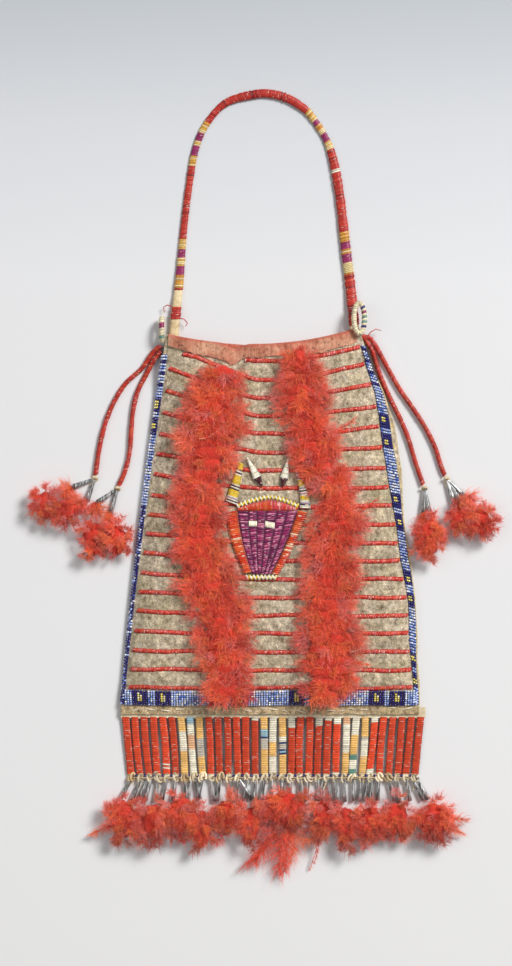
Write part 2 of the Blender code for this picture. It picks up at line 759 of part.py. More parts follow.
def outward(sleeve):
    """Whether an open tube's faces point away from its own line."""
    graph = bpy.context.evaluated_depsgraph_get()
    mesh = sleeve.evaluated_get(graph).to_mesh()
    middle = sum((Vector(v.co) for v in mesh.vertices[:8]), Vector()) / 8
    face = mesh.polygons[0]
    return (face.center - middle).dot(face.normal) > 0


def ring(name, centre, length, upright, tilt=0.0):
    """An oval loop of bead-wrapped thong, lying flat or standing on its edge."""
    points = []
    for i in range(16):
        angle = 2 * math.pi * i / 16
        x = (LOOP_WIDTH / 2 - LOOP_STRAND) * math.cos(angle)
        y = (length / 2 - LOOP_STRAND) * math.sin(angle)
        points.append(Vector((0, y, x) if upright else (x, y, y * tilt)) + Vector(centre))
    curve = spline_of(name, points, cyclic=True)
    curve.bevel_depth = LOOP_STRAND
    curve.bevel_resolution = 1
    add(name, curve, white_quill)


def make_loops():
    """The left loop stands against the corner, and the right one lies on its corner and slopes down beyond it."""
    left = side_x(mouth_y(0) - LOOP_OVERLAP)[0]
    rise = LEFT_LOOP_LENGTH / 2 - LOOP_OVERLAP
    beside = (left - CLEAR - LOOP_STRAND, mouth_y(0) + rise, LOOP_WIDTH / 2 + CLEAR)
    ring("corner_loop_left", beside, LEFT_LOOP_LENGTH, True)
    right = side_x(mouth_y(1))[1]
    rise = RIGHT_LOOP_LENGTH / 2 - LOOP_OVERLAP
    tape = over_front(right - LOOP_WIDTH / 2, mouth_y(1) - LOOP_OVERLAP, 2 * CLEAR + BINDING)
    over = tape + 2 * CLEAR + LOOP_STRAND + LOOP_TILT * (RIGHT_LOOP_LENGTH / 2 - LOOP_STRAND)
    ring("corner_loop_right", (right, mouth_y(1) + rise, over), RIGHT_LOOP_LENGTH, False, LOOP_TILT)


# The fringe


TIE_Y = BASE_Y - COMB_SHOWS - SLAT_LENGTH - CLEAR - KNOT
CONE_FEET_Y = TIE_Y - CONE_SUNK * KNOT - CONE_LENGTH


def slat_x(number, down):
    """Middle of a slat, with down 0 at the hem and 1 at its foot."""
    pitch = blend(SLAT_TOP_PITCH, SLAT_FOOT_PITCH, down)
    return FRINGE_X + pitch * (number - (SLAT_COUNT - 1) / 2)


def make_slat_fringe():
    """The comb's edge is sewn in the hem, and each slat below it is thicker by its quill wrapping."""
    low = HIDE + CLEAR
    wide = SLAT_TOP_PITCH * SLAT_COUNT / 2
    top, foot = BASE_Y - COMB_SHOWS, BASE_Y - COMB_SHOWS - SLAT_LENGTH
    sewn, bare = BASE_Y + HEM - 2 * CLEAR, top - 2 * MM
    corners = ((-wide, bare), (wide, bare), (wide, sewn), (-wide, sewn))
    edge = as_mesh(plate("slat_fringe", [(x + FRINGE_X, y) for x, y in corners], low, COMB, rawhide))
    mesh = bpy.data.meshes.new("slats")
    shape = bmesh.new()
    for number in range(SLAT_COUNT):
        made = bmesh.ops.create_cube(shape, size=1)["verts"]
        bmesh.ops.scale(shape, vec=(SLAT_WIDTH, SLAT_LENGTH, SLAT_THICKNESS), verts=made)
        rims = [
            e for e in shape.edges
            if e.verts[0] in made and abs(e.verts[0].co.y - e.verts[1].co.y) > SLAT_WIDTH and e.verts[0].co.z > 0
        ]
        rounded = bmesh.ops.bevel(shape, geom=rims, offset=0.6 * MM, segments=1, affect="EDGES")["verts"]
        for corner in set(rounded) | {v for v in made if v.is_valid}:
            down = 0.5 - corner.co.y / SLAT_LENGTH
            corner.co.x += slat_x(number, down)
            corner.co.y = blend(top, foot, down)
            corner.co.z += blend(low + COMB / 2, SLAT_THICKNESS / 2 + CLEAR, down)
    shape.to_mesh(mesh)
    shape.free()
    slats = bpy.data.objects.new("slats", mesh)
    guides.objects.link(slats)
    unite(edge, [slats]).data.materials.append(red_quill)


def cones_object(name, matrices):
    """Rolled tin cones turned from their section: narrow end up their own Z, and hollow from the mouth."""
    end = CONE_LENGTH / 2
    pocket = end - 0.32 * CONE_LENGTH
    section = (
        (0, end), (CONE_NARROW, end), (CONE_MOUTH, -end), (CONE_MOUTH - TIN, -end), (CONE_NARROW, pocket), (0, pocket),
    )
    shape = bmesh.new()
    for matrix in matrices:
        spots = [shape.verts.new((x, 0, z)) for x, z in section]
        edges = [shape.edges.new(pair) for pair in zip(spots, spots[1:])]
        already = set(shape.verts) - set(spots)
        bmesh.ops.spin(
            shape, geom=spots + edges, axis=(0, 0, 1), cent=(0, 0, 0), angle=2 * math.pi, steps=5, use_merge=True,
        )
        fresh = [v for v in shape.verts if v not in already]
        bmesh.ops.remove_doubles(shape, verts=fresh, dist=0.00001)
        fresh = [v for v in fresh if v.is_valid]
        bmesh.ops.transform(shape, matrix=matrix, verts=fresh)
    bmesh.ops.recalc_face_normals(shape, faces=shape.faces)
    mesh = bpy.data.meshes.new(name)
    shape.to_mesh(mesh)
    shape.free()
    part = bpy.data.objects.new(name, mesh)
    guides.objects.link(part)
    return part


def cone_place(knot, heading, gap):
    """Where a cone lies whose narrow end starts a gap from a knot, pointing along a heading in the table's plane."""
    direction = Vector((math.cos(heading), math.sin(heading), 0))
    turn = direction.to_track_quat("-Z", "Y").to_matrix().to_4x4()
    return Matrix.Translation(Vector(knot) + direction * (gap + CONE_LENGTH / 2)) @ turn


def cone_heading(number):
    """The cones at the two ends fan out, and the rest hang nearly straight."""
    middle = (SLAT_COUNT - 1) / 2
    end = (number - middle) / middle
    return math.radians(-90 + 24 * end**9 + 3 * math.sin(2.4 * number))


def make_fringe_tie():
    """A cord under the slats, through a knot at each foot and a spacer bead between two, with a cone on each knot."""
    y, z = TIE_Y, KNOT + CLEAR
    points, radii = [], []
    for number in range(SLAT_COUNT):
        x = slat_x(number, 1)
        for along, radius in ((-0.95, CORD), (0, KNOT), (0.95, CORD)):
            points.append((x + along * KNOT, y, z))
            radii.append(radius / KNOT)
        if number < SLAT_COUNT - 1:
            points.append(((x + slat_x(number + 1, 1)) / 2, y, z))
            radii.append(SPACER / KNOT)
    tie = as_mesh(tube("fringe_tie", points, KNOT, rawhide, sides=1, radii=radii))
    cones = [
        cone_place((slat_x(number, 1), y, z), cone_heading(number), CONE_SUNK * KNOT)
        for number in range(SLAT_COUNT)
    ]
    unite(tie, [cones_object("cones", cones)]).data.materials.append(tin)


# Down


def lumpy(share, lumps, depth=0.1):
    return 1 - depth + depth * math.cos(2 * math.pi * lumps * share)


def soft_run(name, route, height, lumps, low, mouths=None):
    """A soft row of down along a route of (x, y, half width) in millimetres, resting on a height.

    Where it fills a row of cones, mouths is their Y and the height of their upper rims.
    """
    points = through([Vector(p) * MM for p in route], 4 * lumps + 1)
    halves = []
    for i, point in enumerate(points):
        share = i / (len(points) - 1)
        halves.append(point.z * lumpy(share, lumps) * swell(min(share, 1 - share) * 9 + 0.45))
    flatten = height / 2 / max(halves)
    line = []
    for point, half in zip(points, halves):
        y = point.y
        if mouths:
            middle = half * flatten
            off = max(0.0, middle + low - mouths[1]) / middle
            y = mouths[0] - CLEAR - half * math.sqrt(1 - off * off)
        line.append((point.x, y, half))
    part = tube(name, line, max(halves), down_feather, radii=[half / max(halves) for half in halves])
    part.scale.z = flatten
    part.location.z = low
    return part


def soft_ball(name, centre, halves):
    """A tuft of down: an oval ball with shallow lumps."""
    mesh = bpy.data.meshes.new(name)
    shape = bmesh.new()
    bmesh.ops.create_uvsphere(shape, u_segments=10, v_segments=6, radius=1)
    for corner in shape.verts:
        around = math.atan2(corner.co.y, corner.co.x)
        bump = 0.97 + 0.03 * math.cos(5 * around) * math.cos(3 * corner.co.z)
        corner.co = Vector(c * half for c, half in zip(corner.co, halves)) * bump
    shape.to_mesh(mesh)
    shape.free()
    part = add(name, mesh, down_feather)
    part.location = centre
    part.data.shade_smooth()


# Side tassels


def beyond_cones(knot, rims, heading, halves):
    """The nearest place along a heading where a tuft is clear of every cone's rim."""
    direction = Vector((math.cos(heading), math.sin(heading), 0))
    centre = Vector((knot.x, knot.y, halves[2] + CLEAR)) + direction * CONE_LENGTH
    step = direction * CLEAR
    nearest = 0.0
    while nearest < 1:
        centre += step
        nearest = min(sum(((r - c) / (h * BALL_FACES)) ** 2 for r, c, h in zip(rim, centre, halves)) for rim in rims)
    return centre


def make_tassel(name, route, turns, down_heading, halves):
    """A wrapped thong from a mouth corner, its knot with tin cones, and the down that fills them."""
    points = through([Vector(p) * MM for p in route], THONG_COUNT)
    tube(f"tassel_thong_{name}", points, THONG, red_quill)
    run = (points[-1] - points[-2]).normalized()
    knot = points[-1] + run * (TASSEL_KNOT + CLEAR)
    knot.z = TASSEL_KNOT + CLEAR
    ball = bpy.data.meshes.new(f"tassel_cones_{name}")
    shape = bmesh.new()
    bmesh.ops.create_uvsphere(shape, u_segments=8, v_segments=6, radius=TASSEL_KNOT)
    shape.to_mesh(ball)
    shape.free()
    joined = add(f"tassel_cones_{name}", ball, rawhide)
    joined.location = knot
    heading = math.atan2(run.y, run.x)
    cones = [cone_place(knot, heading + math.radians(turn), CONE_SUNK * TASSEL_KNOT) for turn in turns]
    for matrix in cones:
        joined = unite(joined, [cones_object("cone", [matrix])])
    joined.data.materials.append(tin)
    around = [Vector((math.cos(a), math.sin(a), 0)) * CONE_MOUTH for a in (math.pi * i / 4 for i in range(8))]
    rims = [matrix @ (spot - Vector((0, 0, CONE_LENGTH / 2))) for matrix in cones for spot in around]
    halves = (halves[0] * MM, halves[1] * MM, TASSEL_DOWN_HEIGHT / 2)
    soft_ball(f"tassel_down_{name}", beyond_cones(knot, rims, math.radians(down_heading), halves), halves)


clear_scene()
bag = collection_of("quilled_bag")
guides = collection_of("guides")
hide = finish_of("smoked_hide", (0.30, 0.26, 0.20), 0.9)
binding_cloth = finish_of("binding_cloth", (0.50, 0.20, 0.16), 0.9)
rawhide = finish_of("rawhide", (0.72, 0.63, 0.46), 0.7)
red_quill = finish_of("red_quill", (0.68, 0.07, 0.04), 0.45)
purple_quill = finish_of("purple_quill", (0.16, 0.03, 0.10), 0.45)
yellow_quill = finish_of("yellow_quill", (0.80, 0.55, 0.08), 0.45)
white_quill = finish_of("white_quill", (0.80, 0.76, 0.60), 0.45)
blue_bead = finish_of("blue_bead", (0.12, 0.20, 0.60), 0.25)
tin = finish_of("tin", (0.32, 0.31, 0.30), 0.35, 1.0)
down_feather = finish_of("down_feather", (0.75, 0.06, 0.04), 0.9)

make_back_panel()
make_front_panel()
make_front_binding()
make_back_binding()
make_beaded_edge("left")
make_beaded_edge("right")
make_beaded_band()
line_section = row_profile("line_section", LINE_WIDTH, LINE_HEIGHT)
for line_number in range(1, LINE_COUNT + 1):
    make_quill_line(line_number, line_section)
make_head()
make_handle()
make_loops()
make_slat_fringe()
make_fringe_tie()
for side, column in (("left", LEFT_COLUMN), ("right", RIGHT_COLUMN)):
    run = [(x, blend(LAST_LINE_Y, FIRST_LINE_Y, share) / MM, COLUMN_HALF) for x, share in column]
    soft_run(f"down_column_{side}", run, COLUMN_HEIGHT, 6, LAYER)
fringe_mouths = (CONE_FEET_Y, CLEAR + KNOT + CONE_MOUTH)
soft_run("fringe_down", [(x, 0, half) for x, half in FRINGE_DOWN], DOWN_HEIGHT, 8, CLEAR, fringe_mouths)
for tassel_name, (tassel_route, tassel_turns, tassel_offset, tassel_halves) in TASSELS.items():
    make_tassel(tassel_name, tassel_route, tassel_turns, tassel_offset, tassel_halves)
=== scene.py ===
import math

import bpy
import numpy as np
from mathutils import Matrix, Vector


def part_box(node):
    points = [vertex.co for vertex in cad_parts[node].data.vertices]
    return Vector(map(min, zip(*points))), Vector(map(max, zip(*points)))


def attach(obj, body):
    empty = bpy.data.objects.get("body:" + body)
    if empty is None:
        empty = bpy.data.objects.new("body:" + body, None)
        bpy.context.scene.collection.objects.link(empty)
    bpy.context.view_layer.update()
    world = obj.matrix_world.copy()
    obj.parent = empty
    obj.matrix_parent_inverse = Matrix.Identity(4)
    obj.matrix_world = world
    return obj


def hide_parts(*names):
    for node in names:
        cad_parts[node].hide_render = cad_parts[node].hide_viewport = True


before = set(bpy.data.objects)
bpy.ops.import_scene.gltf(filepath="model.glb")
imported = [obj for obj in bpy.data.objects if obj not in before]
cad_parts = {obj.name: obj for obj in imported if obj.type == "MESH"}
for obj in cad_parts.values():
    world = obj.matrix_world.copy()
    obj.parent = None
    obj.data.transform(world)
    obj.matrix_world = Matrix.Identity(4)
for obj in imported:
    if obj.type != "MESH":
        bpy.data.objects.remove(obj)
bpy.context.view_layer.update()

# Table, lamps and camera: the bag lies on its back on a pale table and is seen from straight above, in soft
# light that comes from the upper right.
MM = 0.001
TABLE_SIZE, TABLE_GAP = 8, 0.1 * MM
TABLE_FOOT, TABLE_HEAD = -0.3, 0.42  # heights in the picture between which the table's tone changes
ROOM_COLOUR, ROOM_LIGHT = (0.97, 0.985, 1.0, 1), 0.225
LAMPS = {"key": ((2.5, 2.3, 3.1), 1.4, 213), "fill": ((-1.6, 0.1, 2.2), 2.2, 13)}  # place, size in metres, watts
CAMERA_PLACE, CAMERA_LENS = (-10.6 * MM, 31.9 * MM, 1.6), 78.5
scene = bpy.context.scene
scene.view_settings.view_transform = "Standard"


def ink(red, green, blue):
    """A colour given in screen values, as the linear numbers that a shader takes."""
    return tuple((c / 255 / 12.92) if c < 10.4 else ((c / 255 + 0.055) / 1.055) ** 2.4 for c in (red, green, blue))


def fresh_finish(name, roughness, **values):
    """A material with its shader's plain values set, its node tree and its shader."""
    made = bpy.data.materials.new(name)
    made.use_nodes = True
    shader = made.node_tree.nodes["Principled BSDF"]
    shader.inputs["Roughness"].default_value = roughness
    for socket, value in values.items():
        shader.inputs[socket.replace("_", " ")].default_value = value
    return made, made.node_tree, shader


def put(tree, kind, links=None, **settings):
    """One node: plain settings by name, socket values by name, and links given as {socket: output}."""
    node = tree.nodes.new(kind)
    for key, value in settings.items():
        if hasattr(node, key):
            setattr(node, key, value)
        else:
            node.inputs[key.replace("_", " ")].default_value = value
    for socket, output in (links or {}).items():
        tree.links.new(output, node.inputs[socket])
    return node


def ramp(tree, value, stops):
    """Colours along a value from 0 to 1."""
    node = put(tree, "ShaderNodeValToRGB", {"Fac": value})
    bar = node.color_ramp
    bar.elements[0].position, bar.elements[0].color = stops[0][0], (*stops[0][1], 1)
    bar.elements[1].position, bar.elements[1].color = stops[-1][0], (*stops[-1][1], 1)
    for position, colour in stops[1:-1]:
        bar.elements.new(position).color = (*colour, 1)
    return node.outputs["Color"]


def blended(tree, share, first, second, blend_type="MIX"):
    """Two colours mixed by a share; each is a colour or an output."""
    node = put(tree, "ShaderNodeMix", data_type="RGBA", blend_type=blend_type)
    for socket, given in ((0, share), (6, first), (7, second)):
        if isinstance(given, (int, float)):
            node.inputs[socket].default_value = given
        elif isinstance(given, tuple):
            node.inputs[socket].default_value = (*given, 1)
        else:
            tree.links.new(given, node.inputs[socket])
    return node.outputs[2]


def noise_of(tree, scale, detail=4.0, stretch=(1, 1, 1), roughness=0.55):
    """Noise on the piece's own coordinates, in spots per metre."""
    place = put(tree, "ShaderNodeTexCoord").outputs["Object"]
    turned = put(tree, "ShaderNodeMapping", {"Vector": place})
    turned.inputs["Scale"].default_value = stretch
    return put(tree, "ShaderNodeTexNoise", {"Vector": turned.outputs["Vector"]}, Scale=scale, Detail=detail,
               Roughness=roughness).outputs["Fac"]


def mottled(tree, share, colour, pattern, stops):
    """A colour multiplied by the tones that a pattern goes through."""
    return blended(tree, share, colour, ramp(tree, pattern, stops), "MULTIPLY")


def own_tint(tree):
    """The colour that each face of a piece carries."""
    return put(tree, "ShaderNodeAttribute", attribute_name="tint").outputs["Color"]


def colour_with(tree, shader, colour):
    tree.links.new(colour, shader.inputs["Base Color"])


def relief(tree, shader, height, strength, distance):
    """Bumps as high as the distance where the pattern goes from 0 to 1."""
    bump = put(tree, "ShaderNodeBump", {"Height": height}, Strength=strength, Distance=distance)
    tree.links.new(bump.outputs["Normal"], shader.inputs["Normal"])


table_finish, tree, shader = fresh_finish("table_paper", 0.9, Specular_IOR_Level=0.2)
across_table = put(tree, "ShaderNodeSeparateXYZ", {"Vector": put(tree, "ShaderNodeTexCoord").outputs["Object"]})
up_table = put(tree, "ShaderNodeMapRange", {"Value": across_table.outputs["Y"]})
up_table.inputs["From Min"].default_value = TABLE_FOOT
up_table.inputs["From Max"].default_value = TABLE_HEAD
# The ramp paints shade on the table: darker and bluer towards the top of the picture.
colour_with(tree, shader, ramp(tree, up_table.outputs["Result"], (
    (0, ink(237, 236, 235)), (0.45, ink(233, 232, 232)), (0.68, ink(229, 229, 230)), (0.84, ink(214, 216, 219)),
    (1, ink(184, 189, 194)),
)))
bpy.ops.object.select_all(action="DESELECT")
bpy.ops.mesh.primitive_plane_add(size=TABLE_SIZE, location=(0, 0, 0))
table = bpy.context.object
table.name = "table"
table.data.transform(Matrix.Translation((0, 0, -TABLE_GAP)))
table.data.materials.append(table_finish)

world = bpy.data.worlds.new("soft_room")
world.use_nodes = True
world.node_tree.nodes["Background"].inputs["Color"].default_value = ROOM_COLOUR
world.node_tree.nodes["Background"].inputs["Strength"].default_value = ROOM_LIGHT
scene.world = world
for lamp_name, (spot, size, power) in LAMPS.items():
    bpy.ops.object.light_add(type="AREA", location=spot)
    lamp = bpy.context.object
    lamp.name = f"{lamp_name}_lamp"
    lamp.data.size = size
    lamp.data.energy = power
    lamp.rotation_euler = (Vector((0, 0, 0)) - Vector(spot)).to_track_quat("-Z", "Y").to_euler()

bpy.ops.object.camera_add(location=CAMERA_PLACE, rotation=(0, 0, 0))
camera = bpy.context.object
camera.data.lens = CAMERA_LENS
scene.camera = camera


# Back panel: one sheet of smoked hide that lies flat on the table, cut straight across at the mouth. The front
# and the back are sewn together along both sides and the base.
BASE_Y, BAG_HEIGHT = -144 * MM, 291 * MM
BASE_WIDTH, MOUTH_WIDTH, MOUTH_SHIFT = 226 * MM, 146 * MM, -5 * MM
LEFT_BOW, RIGHT_BOW = 2.5 * MM, 12 * MM
MOUTH_SAG, MOUTH_TILT = 11 * MM, 5 * MM
HIDE, CLEAR = 1.5 * MM, 0.3 * MM
HEM = 7.5 * MM
PHOTO_SCALE, PHOTO_X, PHOTO_Y = 0.76 * MM, 270, 525  # size of a pixel, and the pixel at the frame's origin
# How much further out than a plain curve the right edge lies, at heights from the hem to the mouth
RIGHT_BULGE_Y = np.array((-125, -102, -72, -38, -11, 8, 19, 30, 42, 61, 80, 99, 118, 137)) * MM
RIGHT_BULGE = np.array((0, -1, 0, 0, -1, -0.9, 0.8, 2.3, 3.8, 5.2, 6, 4.4, 1.1, 0)) * MM
rng = np.random.default_rng(19)


def ease(share):
    """0 to 1, slow at both ends."""
    share = np.clip(share, 0, 1)
    return share * share * (3 - 2 * share)


def swell(share):
    """0 to 1, fast at first."""
    return np.sin(np.pi / 2 * np.clip(share, 0, 1))


def blend(a, b, share):
    return a + (b - a) * share


def side_x(y):
    """Left and right edge of the bag at a height."""
    up = (y - BASE_Y) / BAG_HEIGHT
    swing = 4 * up * (1 - up)
    left = blend(-BASE_WIDTH / 2, MOUTH_SHIFT - MOUTH_WIDTH / 2, up) - LEFT_BOW * swing
    right = blend(BASE_WIDTH / 2, MOUTH_SHIFT + MOUTH_WIDTH / 2, up) + RIGHT_BOW * swing
    return left, right + np.interp(y, RIGHT_BULGE_Y, RIGHT_BULGE)


def mouth_y(across):
    """Height of the back's mouth edge, by share of its width."""
    top = BASE_Y + BAG_HEIGHT
    return top + MOUTH_TILT * (across - 0.5) - MOUTH_SAG * np.sin(np.pi * np.clip(across, 0, 1)) ** 0.8


def ripple(x, y, size, seed, waves=6):
    """A soft unevenness from -1 to 1, with hollows about a size apart."""
    random = np.random.default_rng(seed)
    total = np.zeros(np.broadcast(x, y).shape)
    for _ in range(waves):
        turn, phase = random.uniform(0, np.pi), random.uniform(0, 2 * np.pi)
        pace = 2 * np.pi / (size * random.uniform(0.7, 1.5))
        total += np.sin(pace * (x * np.cos(turn) + y * np.sin(turn)) + phase)
    return total / waves


def corners_of(piece):
    """Places of a piece's corners, one row each."""
    places = np.empty(len(piece.data.vertices) * 3)
    piece.data.vertices.foreach_get("co", places)
    return places.reshape(-1, 3)


def stand_in(node=None):
    """Hides the CAD node that a piece replaces, where there is one."""
    if node:
        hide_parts(node)


def grid_piece(name, columns, rows, place, finish, thickness=0.0, side=-1.0, smooth=True):
    """A sheet: a grid added flat, laid out by place(across, up) and given its thickness."""
    bpy.ops.object.select_all(action="DESELECT")
    bpy.ops.mesh.primitive_grid_add(x_subdivisions=columns, y_subdivisions=rows, size=2)
    piece = bpy.context.object
    piece.name = name
    flat = corners_of(piece)
    laid = np.stack(np.broadcast_arrays(*place((flat[:, 0] + 1) / 2, (flat[:, 1] + 1) / 2)), axis=-1)
    piece.data.vertices.foreach_set("co", np.ascontiguousarray(laid, dtype=float).ravel())
    piece.data.update()
    if thickness:
        wall = piece.modifiers.new("wall", "SOLIDIFY")
        wall.thickness = thickness
        wall.offset = side
        bpy.ops.object.modifier_apply(modifier="wall")
    if smooth:
        bpy.ops.object.shade_smooth()
        bpy.ops.object.shade_smooth_by_angle(angle=math.radians(50))
    piece.data.materials.append(finish)
    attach(piece, "root")
    return piece


# Smoked hide: grey-tan suede with olive clouds and a fibrous nap in many tones; browner in the hem, where it was
# handled and folded.
hide_finish, tree, shader = fresh_finish("smoked_hide", 0.93, Specular_IOR_Level=0.25, Sheen_Weight=0.15)
clouds = noise_of(tree, 50, 6, roughness=0.6)
nap = noise_of(tree, 240, 9, stretch=(1, 0.85, 1), roughness=0.72)
grain = noise_of(tree, 900, 4, roughness=0.8)
scuffs = noise_of(tree, 170, 6, stretch=(0.8, 1, 1), roughness=0.7)
smoke = noise_of(tree, 120, 5, stretch=(1, 0.7, 1), roughness=0.65)
hide_colour = ramp(tree, clouds, (
    (0.30, ink(180, 168, 137)), (0.44, ink(194, 177, 149)), (0.56, ink(198, 181, 158)),
    (0.72, ink(210, 195, 172)),
))
hide_colour = mottled(tree, 0.5, hide_colour, smoke, (
    (0.34, (0.5, 0.47, 0.38)), (0.5, (1, 1, 1)), (0.7, (1.2, 1.2, 1.2)),
))
hide_colour = mottled(tree, 1.0, hide_colour, nap, (
    (0.33, (0.30, 0.26, 0.2)), (0.45, (0.8, 0.79, 0.76)), (0.55, (1.12, 1.12, 1.1)), (0.66, (1.7, 1.7, 1.66)),
))
hide_colour = mottled(tree, 0.9, hide_colour, grain, (
    (0.34, (0.55, 0.53, 0.5)), (0.5, (1, 1, 1)), (0.66, (1.45, 1.45, 1.42)),
))
pale = ramp(tree, scuffs, ((0.56, (0, 0, 0)), (0.68, (0.7, 0.7, 0.7))))
pale_share = put(tree, "ShaderNodeSeparateColor", {"Color": pale}).outputs[0]
hide_colour = blended(tree, pale_share, hide_colour, ink(222, 213, 194))
place = put(tree, "ShaderNodeTexCoord").outputs["Object"]
height_up = put(tree, "ShaderNodeSeparateXYZ", {"Vector": place}).outputs["Y"]
in_hem = put(tree, "ShaderNodeMapRange", {"Value": height_up})
in_hem.inputs["From Min"].default_value = BASE_Y + HEM + 0.6 * MM
in_hem.inputs["From Max"].default_value = BASE_Y + HEM - 0.4 * MM
hem_colour = blended(tree, 1.0, hide_colour, (0.95, 0.86, 0.72), "MULTIPLY")
hide_colour = blended(tree, in_hem.outputs["Result"], hide_colour, hem_colour)
colour_with(tree, shader, hide_colour)
relief(tree, shader, nap, 1.0, 1.3 * MM)


def lay_back(across, up):
    y = BASE_Y + (mouth_y(across) - BASE_Y) * up
    x = blend(*side_x(y), across)
    return x, y, HIDE - 0.12 * MM + 0.1 * MM * ripple(x, y, 30 * MM, 3)


back_panel = grid_piece("back_hide", 60, 80, lay_back, hide_finish, HIDE - 0.25 * MM)
stand_in("back_panel")


# Front panel: the same hide, crowned over the pocket, drawn down a little under each quilled line and puffed
# between two, with a pleat that runs down from the mouth.
BELLY, SIDE_RAMP, BASE_RAMP = 10.5 * MM, 26 * MM, 24 * MM
PLEAT_AT, PLEAT_DIP, PLEAT_DEPTH, PLEAT_WIDTH, PLEAT_LENGTH = 0.353, 4 * MM, 2.6 * MM, 7 * MM, 70 * MM
BINDING = 0.8 * MM
BINDING_ACROSS, BINDING_DOWN = (0, 0.33, 0.37, 0.6, 0.76, 1), (8, 12, 8.8, 8.8, 10.4, 9.8)
STRAP, STRAP_TAB, COMB = 2.2 * MM, 13 * MM, 1 * MM
LINE_COUNT, LINE_WIDTH, LINE_HEIGHT = 19, 2.6 * MM, 1.2 * MM
FIRST_LINE_Y, LAST_LINE_Y = BASE_Y + BAG_HEIGHT - 23.5 * MM, BASE_Y + 21.1 * MM
LINE_PITCH = (FIRST_LINE_Y - LAST_LINE_Y) / (LINE_COUNT - 1)
LEFT_RISE, LEFT_FADE, LEFT_END, RIGHT_RISE, RIGHT_FADE = 30 * MM, 6.5, 5, 15 * MM, 4.5


def front_mouth_y(across):
    """Height of the front's mouth edge, which dips at the pleat."""
    return mouth_y(across) - PLEAT_DIP * np.exp(-((across - PLEAT_AT) / 0.04) ** 2)


def binding_depth(across):
    """How far the binding reaches down the front, by share of the mouth's width."""
    return np.interp(across, BINDING_ACROSS, BINDING_DOWN) * MM


def across_at(x, y):
    left, right = side_x(y)
    return np.clip((x - left) / (right - left), 0, 1)


def line_y(number, x):
    """Height of a quilled line, counted from 1 at the mouth."""
    y = FIRST_LINE_Y - LINE_PITCH * (number - 1) + 0 * x
    across = across_at(x, y)
    fade = math.exp(-max(0, number - 2) / LEFT_FADE) * min(1, (LINE_COUNT - number) / LEFT_END)
    left = LEFT_RISE * fade * np.maximum(0, 1 - across / 0.44) ** 1.15
    fade_right = math.exp(-((number - 1) / RIGHT_FADE) ** 2)
    right = RIGHT_RISE * fade_right * np.maximum(0, (across - 0.6) / 0.4) ** 1.15
    below_binding = front_mouth_y(across) - binding_depth(across) - LINE_WIDTH / 2 - 2 * CLEAR
    wander = 0.4 * MM * np.sin(x / (17 * MM) + 1.7 * number)
    wander = wander + 0.22 * MM * np.sin(x / (6 * MM) + 2.9 * number)
    return np.minimum(y + left + right + wander, below_binding)


def seam_height(y):
    """Underside of the front panel where it is sewn to the back."""
    top = BASE_Y + BAG_HEIGHT
    plain = HIDE + CLEAR
    at_mouth = plain + BINDING + CLEAR + STRAP + CLEAR + BINDING + CLEAR
    low = blend(plain + COMB + CLEAR, plain, ease((y - BASE_Y - HEM) / BASE_RAMP))
    return blend(low, at_mouth, ease((y - top + 4 * STRAP_TAB) / (2.6 * STRAP_TAB)))


def front_top(x, y):
    """Height of the front hide's upper face."""
    left, right = side_x(y)
    top = BASE_Y + BAG_HEIGHT
    rise = swell((x - left) / SIDE_RAMP) * swell((right - x) / SIDE_RAMP)
    rise = rise * swell((y - BASE_Y - HEM) / BASE_RAMP)
    pleat_x = blend(left, right, PLEAT_AT)
    fold = PLEAT_DEPTH * np.exp(-((x - pleat_x) / PLEAT_WIDTH) ** 2)
    fold = fold * ease((y - top + PLEAT_LENGTH) / PLEAT_LENGTH)
    low = seam_height(y)
    body = HIDE + low + (BELLY - low) * rise - fold * rise
    uneven = 0.45 * MM * ripple(x, y, 26 * MM, 5) + 0.22 * MM * ripple(x, y, 9 * MM, 6)
    return body + rise * uneven


def hide_top(x, y):
    """The front hide as it shows, with its drawn lines."""
    drawn = np.zeros(np.broadcast(x, y).shape)
    for number in range(1, LINE_COUNT + 1):
        drawn += np.exp(-((y - line_y(number, x)) / (1.9 * MM)) ** 2)
    creases = 0.2 * MM * ripple(x + 0.4 * y, y, 4.5 * MM, 8)
    pulled = np.abs(ripple(0.35 * x + 0.8 * y, 0.5 * y - 0.3 * x, 8 * MM, 9))
    creases = creases - 0.5 * MM * np.exp(-((pulled / 0.09) ** 2)) * (0.6 + 0.4 * ripple(x, y, 30 * MM, 10))
    return front_top(x, y) - 0.45 * MM * drawn + creases + 0.1 * MM


def lay_front(across, up):
    y = BASE_Y + (front_mouth_y(across) - BASE_Y) * up
    x = blend(*side_x(y), across)
    y = y + (0.7 + 0.5 * ripple(x, 0 * x, 9 * MM, 21)) * MM * (1 - up) ** 25
    return x, y, hide_top(x, y)


front_panel = grid_piece("front_hide", 104, 150, lay_front, hide_finish, HIDE)
stand_in("front_panel")


